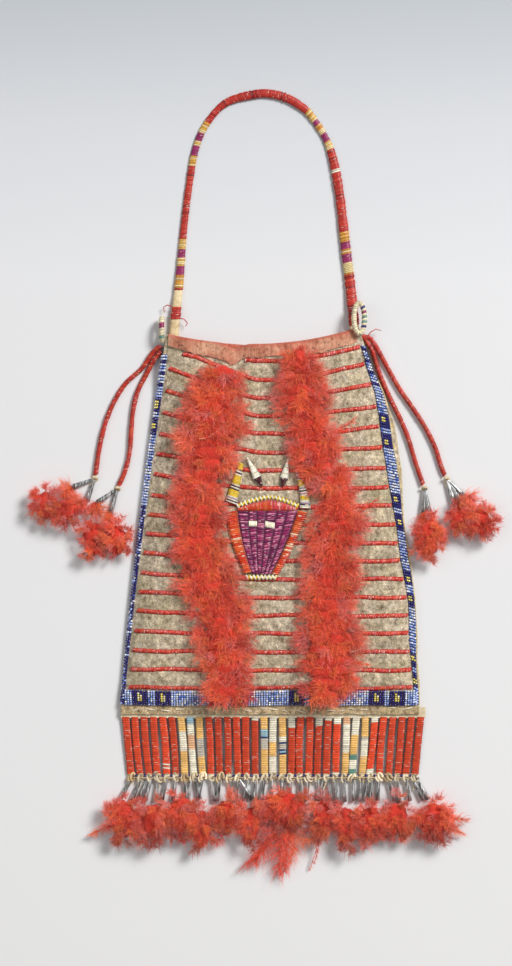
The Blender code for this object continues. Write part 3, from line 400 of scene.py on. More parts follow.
# Bindings of the mouth: a faded woven tape folded over the edge of the front hide, and another over the back's.
# The red dye has gone to brown-pink, and stays strongest along the fold.
BINDING_INSET = 0.012
binding_finish, tree, shader = fresh_finish("faded_tape", 0.95, Specular_IOR_Level=0.15, Sheen_Weight=0.2)
warp = noise_of(tree, 900, 2, stretch=(1, 0.12, 0.3))
weft = noise_of(tree, 900, 2, stretch=(0.12, 1, 0.3))
specks = noise_of(tree, 380, 5, roughness=0.75)
stains = noise_of(tree, 70, 3)
tape_colour = ramp(tree, stains, ((0.3, ink(168, 104, 80)), (0.5, ink(200, 138, 112)), (0.72, ink(216, 170, 140))))
tape_colour = mottled(tree, 0.5, tape_colour, warp, ((0.3, (0.5, 0.42, 0.4)), (0.6, (1.15, 1.15, 1.15))))
tape_colour = mottled(tree, 1.0, tape_colour, specks, (
    (0.33, (0.2, 0.12, 0.1)), (0.44, (1, 1, 1)), (0.7, (1.3, 1.25, 1.2)),
))
worn = put(tree, "ShaderNodeAttribute", attribute_name="fold")
tape_colour = blended(tree, worn.outputs["Fac"], tape_colour, blended(tree, 0.6, tape_colour, ink(178, 62, 50)))
colour_with(tree, shader, tape_colour)
relief(tree, shader, blended(tree, 0.5, warp, weft), 0.6, 0.35 * MM)


def mark_fold(piece, middle, spread):
    """How near each corner of a tape is to its fold."""
    places = corners_of(piece)
    across = across_at(places[:, 0], places[:, 1])
    near = np.exp(-((places[:, 1] - middle(across)) / spread) ** 2)
    piece.data.attributes.new("fold", "FLOAT", "POINT").data.foreach_set("value", near)


# The tapes in section: distance above the mouth's edge, and height over the middle of the hide
FRONT_TAPE_DEEP, TAPE = 9.8 * MM, 0.45 * MM
front_profile = np.array((
    (-9.8, 0.75), (-9.4, 0.95), (-8, 1.0), (-6.4, 1.1), (-5, 1.05), (-3, 1.1), (-1.2, 1.05), (0, 0.8), (0.8, 0.1),
    (0.6, -0.7), (-0.8, -1.1), (-4, -1.0), (-7, -1.0),
)) * MM
back_profile = np.array((
    (-7, 0.65), (-5, 0.7), (-3, 0.75), (-1, 0.75), (0.2, 0.5), (0.75, -0.1), (0.75, -1.25),
)) * MM


def profile_at(profile, up):
    """A place on a section, by share of its points gone through."""
    steps = up * (len(profile) - 1)
    low = np.minimum(np.floor(steps).astype(int), len(profile) - 2)
    return profile[low] + (profile[low + 1] - profile[low]) * (steps - low)[:, None]


def lay_front_tape(across, up):
    across = BINDING_INSET + across * (1 - 2 * BINDING_INSET)
    top = front_mouth_y(across)
    x = blend(*side_x(top), across)
    around = profile_at(front_profile, up)
    frayed = 0.35 * np.sin(x / (1.1 * MM)) + 0.5 * np.sin(x / (3.7 * MM) + 1) + 0.5 * rng.uniform(-1, 1, len(x))
    over_front = around[:, 1] > 0.7 * MM
    reach = around[:, 0] * np.where(over_front, binding_depth(across) / FRONT_TAPE_DEEP, 1)
    y = top + reach + np.where(up < 0.02, frayed * MM, 0)
    puckers = 0.16 * MM * np.sin(x / (2.6 * MM) + 2 * np.sin(x / (11 * MM)))
    puckers = puckers * np.exp(-((around[:, 0] + 8 * MM) / (5 * MM)) ** 2)
    face = front_top(x, np.minimum(y, top)) + np.where(around[:, 1] > 0, 0, -HIDE)
    level = front_top(x, np.minimum(y, top)) - HIDE / 2
    lift = np.where(np.abs(around[:, 1]) > 0.6 * MM, face + around[:, 1] * 0.9, level + around[:, 1] * 1.2)
    return x, y, lift + puckers


def lay_back_tape(across, up):
    across = BINDING_INSET + across * (1 - 2 * BINDING_INSET)
    top = mouth_y(across)
    x = blend(*side_x(top), across)
    around = profile_at(back_profile, up)
    puckers = 0.12 * MM * np.sin(x / (2.9 * MM))
    return x, top + around[:, 0] + 0.3 * MM * np.sin(x / (7 * MM)), HIDE + around[:, 1] + puckers * (up < 0.6)


front_tape = grid_piece("mouth_tape_front", 220, 24, lay_front_tape, binding_finish, TAPE, 0)
mark_fold(front_tape, lambda across: front_mouth_y(across) + 0.4 * MM, 1.5 * MM)
stand_in("mouth_binding_front")
back_tape = grid_piece("mouth_tape_back", 180, 14, lay_back_tape, binding_finish, TAPE, 0)
mark_fold(back_tape, lambda across: mouth_y(across), 4 * MM)
stand_in("mouth_binding_back")


# Quilled lines: nineteen rows of flattened, dyed quills folded over two rows of sinew, so that each stitch is a small
# slanted hump. Pale spots on the stitches are painted highlights, and their darker edges and ends are painted shade.
STITCH = 1.3 * MM


def piece_of(name, corners, faces, tints, finish, smooth=True):
    """A mesh from arrays: corners, one array of faces for each number of sides, and a colour for each face."""
    mesh = bpy.data.meshes.new(name)
    corners = np.asarray(corners, dtype=float).reshape(-1, 3)
    mesh.vertices.add(len(corners))
    mesh.vertices.foreach_set("co", corners.ravel())
    loops = np.concatenate([f.ravel() for f in faces])
    sides = np.concatenate([np.full(len(f), f.shape[1]) for f in faces])
    mesh.loops.add(len(loops))
    mesh.loops.foreach_set("vertex_index", loops)
    mesh.polygons.add(len(sides))
    mesh.polygons.foreach_set("loop_start", np.concatenate([[0], np.cumsum(sides)[:-1]]))
    mesh.polygons.foreach_set("use_smooth", np.full(len(sides), smooth))
    mesh.update(calc_edges=True)
    layer = mesh.color_attributes.new("tint", "FLOAT_COLOR", "CORNER")
    shown = np.repeat(np.concatenate([np.asarray(t, dtype=float).reshape(-1, 3) for t in tints]), sides, axis=0)
    layer.data.foreach_set("color", np.concatenate([shown, np.ones((len(shown), 1))], axis=1).ravel())
    piece = bpy.data.objects.new(name, mesh)
    scene.collection.objects.link(piece)
    mesh.materials.append(finish)
    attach(piece, "root")
    return piece


def unit(vectors):
    return vectors / np.maximum(np.linalg.norm(vectors, axis=-1, keepdims=True), 1e-12)


def front_normal(x, y):
    step = 0.8 * MM
    across = (front_top(x + step, y) - front_top(x - step, y)) / (2 * step)
    up = (front_top(x, y + step) - front_top(x, y - step)) / (2 * step)
    return unit(np.stack([-across, -up, np.ones_like(across)], axis=-1))


def grid_faces(count, rows, columns):
    """Faces of a number of like grids of corners, one after another."""
    i, j = np.meshgrid(np.arange(rows - 1), np.arange(columns - 1), indexing="ij")
    first = (i * columns + j).ravel()
    one = np.stack([first, first + columns, first + columns + 1, first + 1], axis=-1)
    return (one[None] + (np.arange(count) * rows * columns)[:, None, None]).reshape(-1, 4)


STITCH_ACROSS = np.array([-1, -0.62, 0, 0.62, 1])
STITCH_ALONG = np.array([-1, -0.5, 0.5, 1])
STITCH_RISE = (1 - np.abs(STITCH_ACROSS) ** 2.4)[:, None] * np.array([0.35, 1, 1, 0.35])[None]
# STITCH_SHADE paints shade on each stitch's edges and ends, and a little light on its middle.
STITCH_SHADE = np.outer((0.66, 1.0, 1.06, 0.72), (0.72, 1.04, 0.84)).ravel()
STITCH_FACES = len(STITCH_SHADE)


def stitches(middle, along, up, length, width, height, slant=0.0):
    """Humped quill stitches, each at its middle, as corners and faces."""
    across = unit(np.cross(up, along))
    count = len(middle)
    length, width, height = (np.broadcast_to(v, count)[:, None, None, None] for v in (length, width, height))
    u = STITCH_ACROSS[None, :, None, None]
    v = STITCH_ALONG[None, None, :, None]
    corners = (
        middle[:, None, None]
        + across[:, None, None] * u * width / 2
        + along[:, None, None] * (v * length / 2 + slant * u * width / 2)
        + up[:, None, None] * STITCH_RISE[None, :, :, None] * height
    )
    return corners.reshape(-1, 3), grid_faces(count, 5, 4)[:, ::-1]


def per_face(tints, faces_each):
    return np.repeat(np.asarray(tints), faces_each, axis=0)


def stitch_tints(tones, glint, share=0.1):
    """Colours of each stitch's faces: painted shade at its edges and ends, uneven, with a painted highlight here and
    there.
    """
    tones = np.asarray(tones)
    shown = tones[:, None] * STITCH_SHADE[None, :, None]
    shown = shown * rng.uniform(0.86, 1.12, (len(tones), STITCH_FACES, 1))
    bright = (rng.random((len(tones), STITCH_FACES)) < share) & (STITCH_SHADE > 0.75)[None]
    strength = rng.uniform(0.35, 0.9, shown.shape[:2])[..., None]
    shown = np.where(bright[..., None], blend(shown, np.array(glint), strength), shown)
    return shown.reshape(-1, 3)


def choose(count, choices):
    """Colours picked at random from (share, colour) pairs, each a little lighter or darker."""
    shares = np.array([c[0] for c in choices], dtype=float)
    colours = np.array([c[1] for c in choices])
    picked = colours[rng.choice(len(choices), count, p=shares / shares.sum())]
    return picked * rng.uniform(0.86, 1.12, (count, 1))


def varied(tone):
    """One colour, a little lighter or darker at random."""
    return choose(1, ((1, tone),))


def lengths_along(points):
    """How far along a path each of its points is."""
    return np.concatenate([[0], np.cumsum(np.linalg.norm(np.diff(points, axis=0), axis=1))])


def at_lengths(wanted, gone, points):
    """Places on a path at lengths along it."""
    return np.stack([np.interp(wanted, gone, column) for column in points.T], axis=-1)


def along_path(points, step):
    """Even places along a path, with the direction there."""
    gone = lengths_along(points)
    count = max(2, round(gone[-1] / step))
    wanted = (np.arange(count) + 0.5) / count * gone[-1]
    ahead, behind = (at_lengths(wanted + off, gone, points) for off in (step / 4, -step / 4))
    return at_lengths(wanted, gone, points), unit(ahead - behind), gone[-1] / count


# Dyed quill: each stitch has its own colour, with fine streaks and a waxy shine.
quill_finish, tree, shader = fresh_finish(
    "dyed_quill", 0.4, Specular_IOR_Level=0.35, Coat_Weight=0.06, Coat_Roughness=0.25,
)
own = own_tint(tree)
streaks = noise_of(tree, 1500, 4, roughness=0.7)
blotches = noise_of(tree, 160, 4)
quill_colour = mottled(tree, 0.8, own, streaks, (
    (0.34, (0.62, 0.58, 0.58)), (0.55, (1, 1, 1)), (0.72, (1.3, 1.35, 1.4)),
))
quill_colour = mottled(tree, 0.6, quill_colour, blotches, ((0.3, (0.78, 0.74, 0.72)), (0.6, (1.06, 1.06, 1.06))))
colour_with(tree, shader, quill_colour)
relief(tree, shader, streaks, 0.3, 0.2 * MM)

QUILL_RED, QUILL_ORANGE, QUILL_PINK = ink(214, 58, 42), ink(224, 88, 58), ink(228, 96, 92)
# Colours of the painted highlights on the quills:
QUILL_PALE_HIGHLIGHT, QUILL_PINK_HIGHLIGHT = ink(250, 206, 196), ink(246, 150, 138)
LINE_MIX = ((0.6, QUILL_RED), (0.24, QUILL_ORANGE), (0.16, QUILL_PINK))


# The beaded rows of the right edge: height, inner end and outer end in millimetres
INNER_END, OUTER_END = 1, 2
RIGHT_ROWS = np.array((
    (-126, 108.7, 112.4), (-118, 108.3, 111.3), (-103, 107, 110.4), (-87, 105.2, 110.6), (-72, 105.2, 110.2),
    (-57, 104.6, 109.3), (-38, 101.1, 107), (-27, 98.8, 104.9), (-11, 96.9, 102.6), (0, 95.6, 101),
    (8, 94, 99.8), (19, 92, 99.2), (30, 90, 98), (42, 88.2, 96.4), (61, 84.9, 92.6), (80, 82.5, 90.2),
    (99, 79.6, 86), (118, 73.3, 77.6), (137, 68.2, 71.2),
)) * MM


def right_row(y, end):
    """Where the right edge's rows of beads begin or end at a height."""
    return np.interp(y, RIGHT_ROWS[:, 0], RIGHT_ROWS[:, end])


def edge_lane(side, y):
    """How far a beaded edge reaches over the front."""
    if side == "right":
        return side_x(y)[1] - right_row(y, INNER_END)
    return blend(1.6, 3.4, ease((y - BASE_Y) / BAG_HEIGHT)) * MM


LINE_MARGINS = {"left": 2.8 * MM, "right": 1.0 * MM}  # hide left bare between a line's end and the beads
for number in range(1, LINE_COUNT + 1):
    ends = []
    for end, (side, way) in enumerate((("left", 1), ("right", -1))):
        x = float(side_x(FIRST_LINE_Y - LINE_PITCH * (number - 1))[end])
        for _ in range(4):  # a line slopes, so its end is found in steps
            y = float(line_y(number, x))
            x = float(side_x(y)[end]) + way * (float(edge_lane(side, y)) + LINE_MARGINS[side])
        ends.append(x)
    if number == 1:
        ends[0] = float(blend(*side_x(FIRST_LINE_Y), PLEAT_AT)) + PLEAT_WIDTH
    if number == 2:
        ends[0] += 1.2 * PLEAT_WIDTH
    xs = np.linspace(ends[0], ends[1], 240)
    ys = line_y(number, xs)
    places, along, stitch = along_path(np.stack([xs, ys, front_top(xs, ys)], axis=-1), STITCH)
    up = front_normal(places[:, 0], places[:, 1])
    count = len(places)
    across = unit(np.cross(up, along))
    places = places + across * rng.normal(0, 0.08 * MM, (count, 1)) - up * 0.15 * MM
    widths = 3.5 * MM * rng.uniform(0.9, 1.08, count)
    heights = LINE_HEIGHT * rng.uniform(0.9, 1.1, count)
    corners, faces = stitches(places, along, up, stitch * 1.2, widths, heights, 0.35)
    # A narrow dark red strip under the stitches: painted shade that shows in the gaps between them.
    shade_strip_sides = np.stack([places - across * 0.85 * MM, places + across * 0.85 * MM], axis=1)
    shade_strip_corners = shade_strip_sides + up[:, None] * 0.35 * MM
    bed = grid_faces(1, count, 2)[:, ::-1] + len(corners)
    glints = choose(count, ((0.72, QUILL_PINK_HIGHLIGHT), (0.28, QUILL_PALE_HIGHLIGHT)))[:, None]
    tints = stitch_tints(choose(count, LINE_MIX), glints, 0.26)
    line = piece_of(
        f"quilled_line_{number:02d}", np.concatenate([corners, shade_strip_corners.reshape(-1, 3)]), [faces, bed],
        [tints, np.tile(ink(150, 32, 26), (len(bed), 1))], quill_finish,
    )
    stand_in(f"quill_line_{number:02d}")


# Beadwork: glass seed beads in lazy stitch. A lane of seven beads crosses the front above the hem, in light blue
# with dark blue squares and a yellow flower in each; rows of beads also cover both side seams.
BEAD_PITCH, BEAD_WIDE = 1.94 * MM, 1.68 * MM
LANE, LANE_BEADS = 11.6 * MM, 7
SQUARE_HALF, FLOWER_HALF = 3.1, 1.05  # half widths in beads
LIGHT_BLUE, SKY_GLINT, DARK_BLUE = ink(178, 198, 250), ink(240, 244, 255), ink(42, 36, 122)
YELLOW_BEAD, BONE_BEAD = ink(250, 232, 120), ink(250, 244, 208)
# Some light beads take the near-white glint colour: painted highlights.
BLUE_AND_HIGHLIGHT_MIX = ((0.56, LIGHT_BLUE), (0.3, SKY_GLINT), (0.14, ink(98, 128, 210)))

bead_finish, tree, shader = fresh_finish(
    "glass_beads", 0.12, Specular_IOR_Level=0.65, Coat_Weight=0.4, Coat_Roughness=0.06,
)
own = own_tint(tree)
swirl = noise_of(tree, 700, 3)
colour_with(tree, shader, mottled(tree, 0.6, own, swirl, ((0.3, (0.7, 0.7, 0.74)), (0.7, (1.25, 1.22, 1.15)))))

# A dark blue-grey strip under the side rows of beads: painted shade that shows between them.
shade_strip_finish, tree, shader = fresh_finish(
    "painted_shade", 0.9, Specular_IOR_Level=0.2, Base_Color=(*ink(52, 52, 84), 1),
)
welt_finish, tree, shader = fresh_finish("hide_edge", 0.9, Specular_IOR_Level=0.2)
colour_with(tree, shader, ramp(tree, noise_of(tree, 300, 6, roughness=0.7), (
    (0.34, ink(150, 124, 76)), (0.5, ink(206, 184, 134)), (0.66, ink(232, 216, 176)),
)))

bpy.ops.object.select_all(action="DESELECT")
bpy.ops.mesh.primitive_torus_add(major_segments=7, minor_segments=4, major_radius=0.31, minor_radius=0.2)
bead_start = bpy.context.object
bead_corners = np.array([v.co[:] for v in bead_start.data.vertices])
bead_corners[:, 2] *= 0.42 / 0.19  # as long as a bead of size 1 is, from hole to hole
bead_faces = np.array([p.vertices[:] for p in bead_start.data.polygons])
bpy.data.objects.remove(bead_start)


def bead_work(name, places, thread, up, wide, long, tints):
    """Beads threaded along a direction, each with its own colour.

    wide is a bead's size across its hole and long is its size along it.
    """
    across = unit(np.cross(thread, up))
    rise = unit(np.cross(across, thread))
    count = len(places)
    wide = np.broadcast_to(wide, count)[:, None, None] * rng.uniform(0.95, 1.05, (count, 1, 1))
    long = np.broadcast_to(long, count)[:, None, None] * rng.uniform(0.92, 1.04, (count, 1, 1))
    spun = rng.uniform(0, 0.8, count)[:, None]
    shape = bead_corners[None]
    x = shape[..., 0] * np.cos(spun) - shape[..., 1] * np.sin(spun)
    y = shape[..., 0] * np.sin(spun) + shape[..., 1] * np.cos(spun)
    corners = (
        places[:, None] + across[:, None] * x[..., None] * wide + rise[:, None] * y[..., None] * wide
        + thread[:, None] * shape[..., 2:] * long * 1.18
    )
    faces = (bead_faces[None] + (np.arange(count) * len(bead_corners))[:, None, None]).reshape(-1, 4)
    return piece_of(name, corners, [faces], [per_face(tints, len(bead_faces))], bead_finish)


def jittered(colours):
    """The colours, each a little lighter or darker at random."""
    return np.asarray(colours) * rng.uniform(0.8, 1.18, (len(colours), 1))


# The lane across the front
lane_left, lane_right = (float(v) for v in side_x(BASE_Y + HEM + LANE / 2))
lane_left += float(edge_lane("left", BASE_Y + HEM)) + 1.2 * MM
lane_right -= 2.6 * MM
lane_columns = round((lane_right - lane_left) / BEAD_PITCH)
SQUARE_PIXELS = (141.5, 163.5, 217, 239, 295.5, 317, 374.7, 396.3)  # middles of the dark squares
square_x = [(px - PHOTO_X) * PHOTO_SCALE for px in SQUARE_PIXELS]
places, tints = [], []
for column in range(lane_columns + 1):
    x = blend(lane_left, lane_right, column / lane_columns)
    nearest = min(square_x, key=lambda s: abs(s - x))
    off = (x - nearest) / BEAD_PITCH
    for row in range(LANE_BEADS):
        v = (row + 0.5) / LANE_BEADS
        y = BASE_Y + HEM + 0.3 * MM + LANE * v + 0.25 * MM * math.sin(x / (9 * MM))
        slope = 0.25 * MM * math.sin(column * 2.1) * (v - 0.5)
        places.append((x + slope, y, 0.75 * MM * (1 - (2 * v - 1) ** 2)))
        if abs(off) < SQUARE_HALF:
            flower = abs(off) < FLOWER_HALF and row in ((2, 3, 4) if off > 0 else (2, 3, 4, 5))
            tints.append(choose(1, ((0.7, YELLOW_BEAD), (0.3, BONE_BEAD)))[0] if flower else DARK_BLUE)
        else:
            tints.append(choose(1, BLUE_AND_HIGHLIGHT_MIX)[0])
places = np.array(places)
hump = places[:, 2].copy()
up = front_normal(places[:, 0], places[:, 1])
places[:, 2] = front_top(places[:, 0], places[:, 1])
places += up * (0.85 * MM + hump)[:, None]
thread = unit(np.cross(up, np.array([[1.0, 0, 0]])))
lane = bead_work("bead_lane_base", places, thread, up, BEAD_WIDE, 1.06 * LANE / LANE_BEADS, jittered(tints))
stand_in("beaded_band")

# The rows over the side seams: dark squares with a yellow flower in pairs, light blue between, and every fourth
# row dark near the mouth
SIDE_FLOWER_PIXELS = {"right": (420.8, 442.4, 500, 522.5, 578, 600, 659, 680), "left": (405, 426)}
TOP_GAPS = {"left": 7.5 * MM, "right": 4 * MM}  # bare seam between the binding and the rows
SIDE_ROW, SIDE_SQUARE_HALF, SIDE_FLOWER_HALF = 2.15 * MM, 2.6, 1.1
SIDE_BEAD_WIDE, SIDE_BEAD_LONG = 1.62 * MM, 1.74 * MM
for side, outward in (("left", -1), ("right", 1)):
    end = 0 if side == "left" else 1
    low = BASE_Y + HEM + 0.6 * MM
    high = float(mouth_y(end) - binding_depth(end)) - TOP_GAPS[side]
    rows = round((high - low) / SIDE_ROW)
    flowers = [(PHOTO_Y - py) * PHOTO_SCALE for py in SIDE_FLOWER_PIXELS[side]]
    places, threads, ups, tints = [], [], [], []
    for row in range(rows):
        y = blend(low, high, (row + 0.5) / rows)
        edge = float(side_x(y)[end])
        inner = edge - outward * float(edge_lane(side, y))
        top = float(front_top(np.array(edge), np.array(y)))
        start = (inner, float(front_top(np.array(inner), np.array(y))) + 0.8 * MM)
        if side == "right":
            near = float(right_row(y, OUTER_END))
            profile = np.array((start, (near, float(front_top(np.array(near), np.array(y))) + 0.8 * MM)))
        else:
            profile = np.array((
                start, (edge - outward * 0.6 * MM, top + 1.0 * MM), (edge + outward * 0.9 * MM, top + 0.1 * MM),
                (edge + outward * 1.1 * MM, 1.0 * MM),
            ))
        gone = lengths_along(profile)
        beads = max(2, round(gone[-1] / (1.6 * MM)))
        off = (y - min(flowers, key=lambda f: abs(f - y))) / SIDE_ROW
        dark_row = row % 4 == 0 and y > 100 * MM
        for bead in range(beads):
            share = (bead + 0.5) / beads * gone[-1]
            spot = at_lengths(share, gone, profile)
            tip = at_lengths(min(share + 0.4 * MM, gone[-1]), gone, profile)
            run = tip - at_lengths(max(share - 0.4 * MM, 0), gone, profile)
            slip = (-1.7 if side == "right" else 0.5) * MM * (bead / beads - 0.5)
            places.append((spot[0], y + slip + rng.normal(0, 0.07 * MM), spot[1]))
            threads.append((run[0], -0.25 * MM, run[1]))
            ups.append((abs(run[1]) * outward, 0, abs(run[0]) + 1e-6))
            if abs(off) < SIDE_SQUARE_HALF:
                middle = bead in (1, 2) if side == "left" else abs(bead + 0.75 - beads / 2) < 1
                tints.append(YELLOW_BEAD if abs(off) < SIDE_FLOWER_HALF and middle else DARK_BLUE)
            elif dark_row or (side == "left" and y < 15 * MM and rng.random() < 0.7):
                tints.append(DARK_BLUE)
            else:
                tints.append(choose(1, BLUE_AND_HIGHLIGHT_MIX)[0])
    edge_beads = bead_work(
        f"bead_rows_{side}", np.array(places), unit(np.array(threads)), unit(np.array(ups)),
        SIDE_BEAD_WIDE, SIDE_BEAD_LONG, jittered(tints),
    )
    stand_in(f"beaded_edge_{side}")

    def lay_shade_strip(across, up, end=end, outward=outward, side=side, low=low, high=high):
        """A dark blue-grey strip under the rows: painted shade that shows in the gaps between the beads."""
        y = blend(low, high, up)
        edge = side_x(y)[end]
        outer = edge if side == "left" else right_row(y, OUTER_END) + 0.2 * MM
        x = blend(outer, edge - outward * edge_lane(side, y), across)
        return x, y, front_top(x, y) + 0.25 * MM

    bed = grid_piece(f"bead_shade_strip_{side}", 4, 60, lay_shade_strip, shade_strip_finish, 0.2 * MM, -1)
    stand_in()


def lay_welt(across, up):
    """The pale strip of hide outside the right rows."""
    y = blend(BASE_Y + HEM, 110 * MM, up)
    start, edge = right_row(y, OUTER_END) - 0.3 * MM, side_x(y)[1] + 0.5 * MM
    x = blend(start, edge, across) + 0.2 * MM * np.sin(y / (5 * MM)) * across
    return x, y, front_top(np.minimum(x, edge - 1 * MM), y) * (1 - 0.2 * across**2) + 0.1 * MM


welt = grid_piece("side_welt_right", 6, 120, lay_welt, welt_finish, 0.8 * MM)
stand_in()


# Hem: the folded lower edge of the hide, caught to the comb with long stitches of pale sinew.
rawhide_finish, tree, shader = fresh_finish("bare_rawhide", 0.6, Specular_IOR_Level=0.4)
own = own_tint(tree)
fibres = noise_of(tree, 500, 5, roughness=0.7)
dirt = noise_of(tree, 130, 4)
bare = mottled(tree, 0.7, own, fibres, (
    (0.3, (0.62, 0.55, 0.45)), (0.55, (1, 1, 1)), (0.75, (1.12, 1.12, 1.12)),
))
bare = mottled(tree, 0.7, bare, dirt, ((0.32, (0.7, 0.62, 0.5)), (0.6, (1.05, 1.05, 1.05))))
colour_with(tree, shader, bare)
relief(tree, shader, fibres, 0.5, 0.3 * MM)
CREAM, TAN, BONE = ink(242, 228, 196), ink(214, 188, 144), ink(250, 240, 216)


def tube(points, radii, sides, up=(0, 0, 1), flat=1.0, slant=0.0):
    """Corners and faces of a tube along points.

    Its height is flat times its width, and slant turns its rings.
    """
    points = np.asarray(points, dtype=float)
    radii = np.broadcast_to(np.asarray(radii, dtype=float), len(points))
    run = unit(np.gradient(points, axis=0))
    across = unit(np.cross(run, np.broadcast_to(up, run.shape)))
    rise = unit(np.cross(across, run))
    turn = 2 * np.pi * np.arange(sides) / sides
    sideways = np.cos(turn)[None, :, None] * (across + slant * run)[:, None]
    corners = points[:, None] + radii[:, None, None] * (sideways + flat * np.sin(turn)[None, :, None] * rise[:, None])
    n, m = len(points), sides
    i, j = np.meshgrid(np.arange(n - 1), np.arange(m), indexing="ij")
    a, b = i * m + j, i * m + (j + 1) % m
    walls = np.stack([a, a + m, b + m, b], axis=-1).reshape(-1, 4)[:, ::-1]
    ends = np.arange(m)[None], (np.arange(m) + (n - 1) * m)[::-1][None]
    return corners.reshape(-1, 3), [walls, *ends]


def joined(shapes):
    """Several (corners, faces by number of sides, tints) shapes as one set of arrays for piece_of.

    tints is one colour for the whole shape, or a list with an array of colours for each array of faces.
    """
    corners, groups, start = [], {}, 0
    for points, faces, tints in shapes:
        corners.append(points)
        shown = tints if isinstance(tints, list) else [np.tile(tints, (len(f), 1)) for f in faces]
        for f, tones in zip(faces, shown):
            kept = groups.setdefault(f.shape[1], ([], []))
            kept[0].append(f + start)
            kept[1].append(tones)
        start += len(points)
    kept = [groups[sides] for sides in sorted(groups)]
    return np.concatenate(corners), [np.concatenate(f) for f, _ in kept], [np.concatenate(t) for _, t in kept]


shapes = []
SINEW_LEFT, SINEW_RIGHT, SINEW_POINTS = -104 * MM, 106 * MM, 7
x = SINEW_LEFT
while x < SINEW_RIGHT:
    long = rng.uniform(3.5, 8) * MM
    y0 = BASE_Y + rng.uniform(3.0, 5.6) * MM
    xs = np.linspace(x, x + long, SINEW_POINTS)
    ys = y0 + (xs - x) * rng.uniform(-0.28, 0.28)
    arched = np.sin(np.linspace(0, np.pi, SINEW_POINTS))
    zs = front_top(xs, ys) + 0.25 * MM + 0.25 * MM * arched
    thick = rng.uniform(0.3, 0.55) * MM * (0.6 + 0.4 * arched)
    shapes.append((*tube(np.stack([xs, ys, zs], axis=-1), thick, 5), jittered([BONE])[0]))
    x += long + rng.uniform(1, 8) * MM
hem_thread = piece_of("hem_sinew", *joined(shapes), rawhide_finish)
stand_in()


# Head worked in quills: a face of six lanes, red cheeks, an arched brow with a zigzag trim, two striped horns
# and two slim ears, all in flattened quills sewn to the hide.
HEAD_X, FACE_TOP_Y, FACE_TOP_WIDTH, FACE_CHIN_WIDTH = -1.9 * MM, 10.5 * MM, 44.8 * MM, 14.4 * MM
FACE_HEIGHT, FACE_LEAN = 47 * MM, -4.5 * MM
LAYER = BELLY + HIDE + CLEAR + LINE_HEIGHT + CLEAR
PURPLE, PLUM, LILAC = ink(164, 48, 104), ink(120, 36, 84), ink(216, 120, 156)


def on_head(x, y, lift=0.0):
    """A place on the head's work, which lies over the quilled lines."""
    x, y = np.broadcast_arrays(np.asarray(x, dtype=float), np.asarray(y, dtype=float))
    return np.stack([x, y, np.full(x.shape, LAYER) + lift], axis=-1)


UP = np.array([0.0, 0, 1])
HEAD_GLINT, FACE_GLINT = ink(250, 236, 216), ink(250, 190, 204)
head_shapes = {}


def stitch_shape(part, middle, along, length, width, height, tint, slant=0.0, glint=HEAD_GLINT, share=0.1):
    """Adds one stitch to a part of the head."""
    middle, along = np.atleast_2d(middle), unit(np.atleast_2d(along))
    corners, faces = stitches(middle, along, np.broadcast_to(UP, middle.shape), length, width, height, slant)
    head_shapes.setdefault(part, []).append((corners, [faces], [stitch_tints(tint, glint, share)]))


def face_x(share, down):
    """Across the face, share -1 to 1 from its left side to its right."""
    half = blend(FACE_TOP_WIDTH / 2, FACE_CHIN_WIDTH / 2, down) + 1.6 * MM * np.sin(np.pi * down)
    return HEAD_X + FACE_LEAN * down + share * half


LANE_BOUNDS = (-1, -0.647, -0.355, -0.045, 0.318, 0.656, 1)  # shares of the face's half width
LANE_SLANTS = (0.12, -0.16, 0.18, -0.2, -0.24, -0.3)
EYES = {1: (0.15, 0.24, 0.0), 3: (0.15, 0.25, 0.03)}  # by lane: top, foot and drop, as shares of the face's height
NO_EYE = (2, 3, 0)
# The eye and ear quills' colours are lifted by the factor below, past full white for the white ones: painted light.
EYE_STITCHES, PAINTED_LIGHT_BOOST = 6, 1.22
SHADE_BACKING_POINTS, FACE_ROWS = 14, 34
# A dark plum sheet under the face's stitches: painted shade that shows in the gaps between stitches and lanes.
downs = np.linspace(-0.005, 1.005, SHADE_BACKING_POINTS)
shade_backing_ys = FACE_TOP_Y - FACE_HEIGHT * downs
shade_backing = np.stack([on_head(face_x(side, downs), shade_backing_ys, 0.12 * MM) for side in (-0.99, 0.99)], axis=1)
head_shapes["face"] = [(shade_backing.reshape(-1, 3), [grid_faces(1, SHADE_BACKING_POINTS, 2)], ink(92, 26, 66))]
for lane_number, (left_bound, right_bound) in enumerate(zip(LANE_BOUNDS[:-1], LANE_BOUNDS[1:])):
    for row in range(FACE_ROWS):
        down = (row + 0.5 + rng.normal(0, 0.12)) / FACE_ROWS
        a = face_x(left_bound, down) + 0.05 * MM
        b = face_x(right_bound, down) - 0.05 * MM
        y = FACE_TOP_Y - FACE_HEIGHT * down
        top, foot, drop = EYES.get(lane_number, NO_EYE)
        if top - 0.01 < down < foot + drop + 0.01:
            continue
        tint = choose(1, ((0.46, PURPLE), (0.36, PLUM), (0.18, LILAC)))
        long = FACE_HEIGHT / FACE_ROWS * rng.uniform(0.86, 1.06)
        slant = LANE_SLANTS[lane_number] * (0.25 + 1.3 * down)
        stitch_shape("face", on_head((a + b) / 2, y), (0, 1, 0), long, b - a, 0.7 * MM, tint, slant, FACE_GLINT, 0.2)
for lane_number, (top, foot, drop) in EYES.items():
    for k in range(EYE_STITCHES):
        share = blend(*LANE_BOUNDS[lane_number:lane_number + 2], (k + 0.5) / EYE_STITCHES)
        down = (top + foot) / 2 + drop * (k + 0.5) / EYE_STITCHES
        high = (foot - top) * FACE_HEIGHT
        spot = on_head(face_x(share, down), FACE_TOP_Y - FACE_HEIGHT * down, 0.1 * MM)
        tint = PAINTED_LIGHT_BOOST * varied(ink(255, 246, 218))
        stitch_shape("face", spot, (1, 0, 0), 1.25 * MM, high, 0.7 * MM, tint, drop)

CHEEK_ROWS = 32
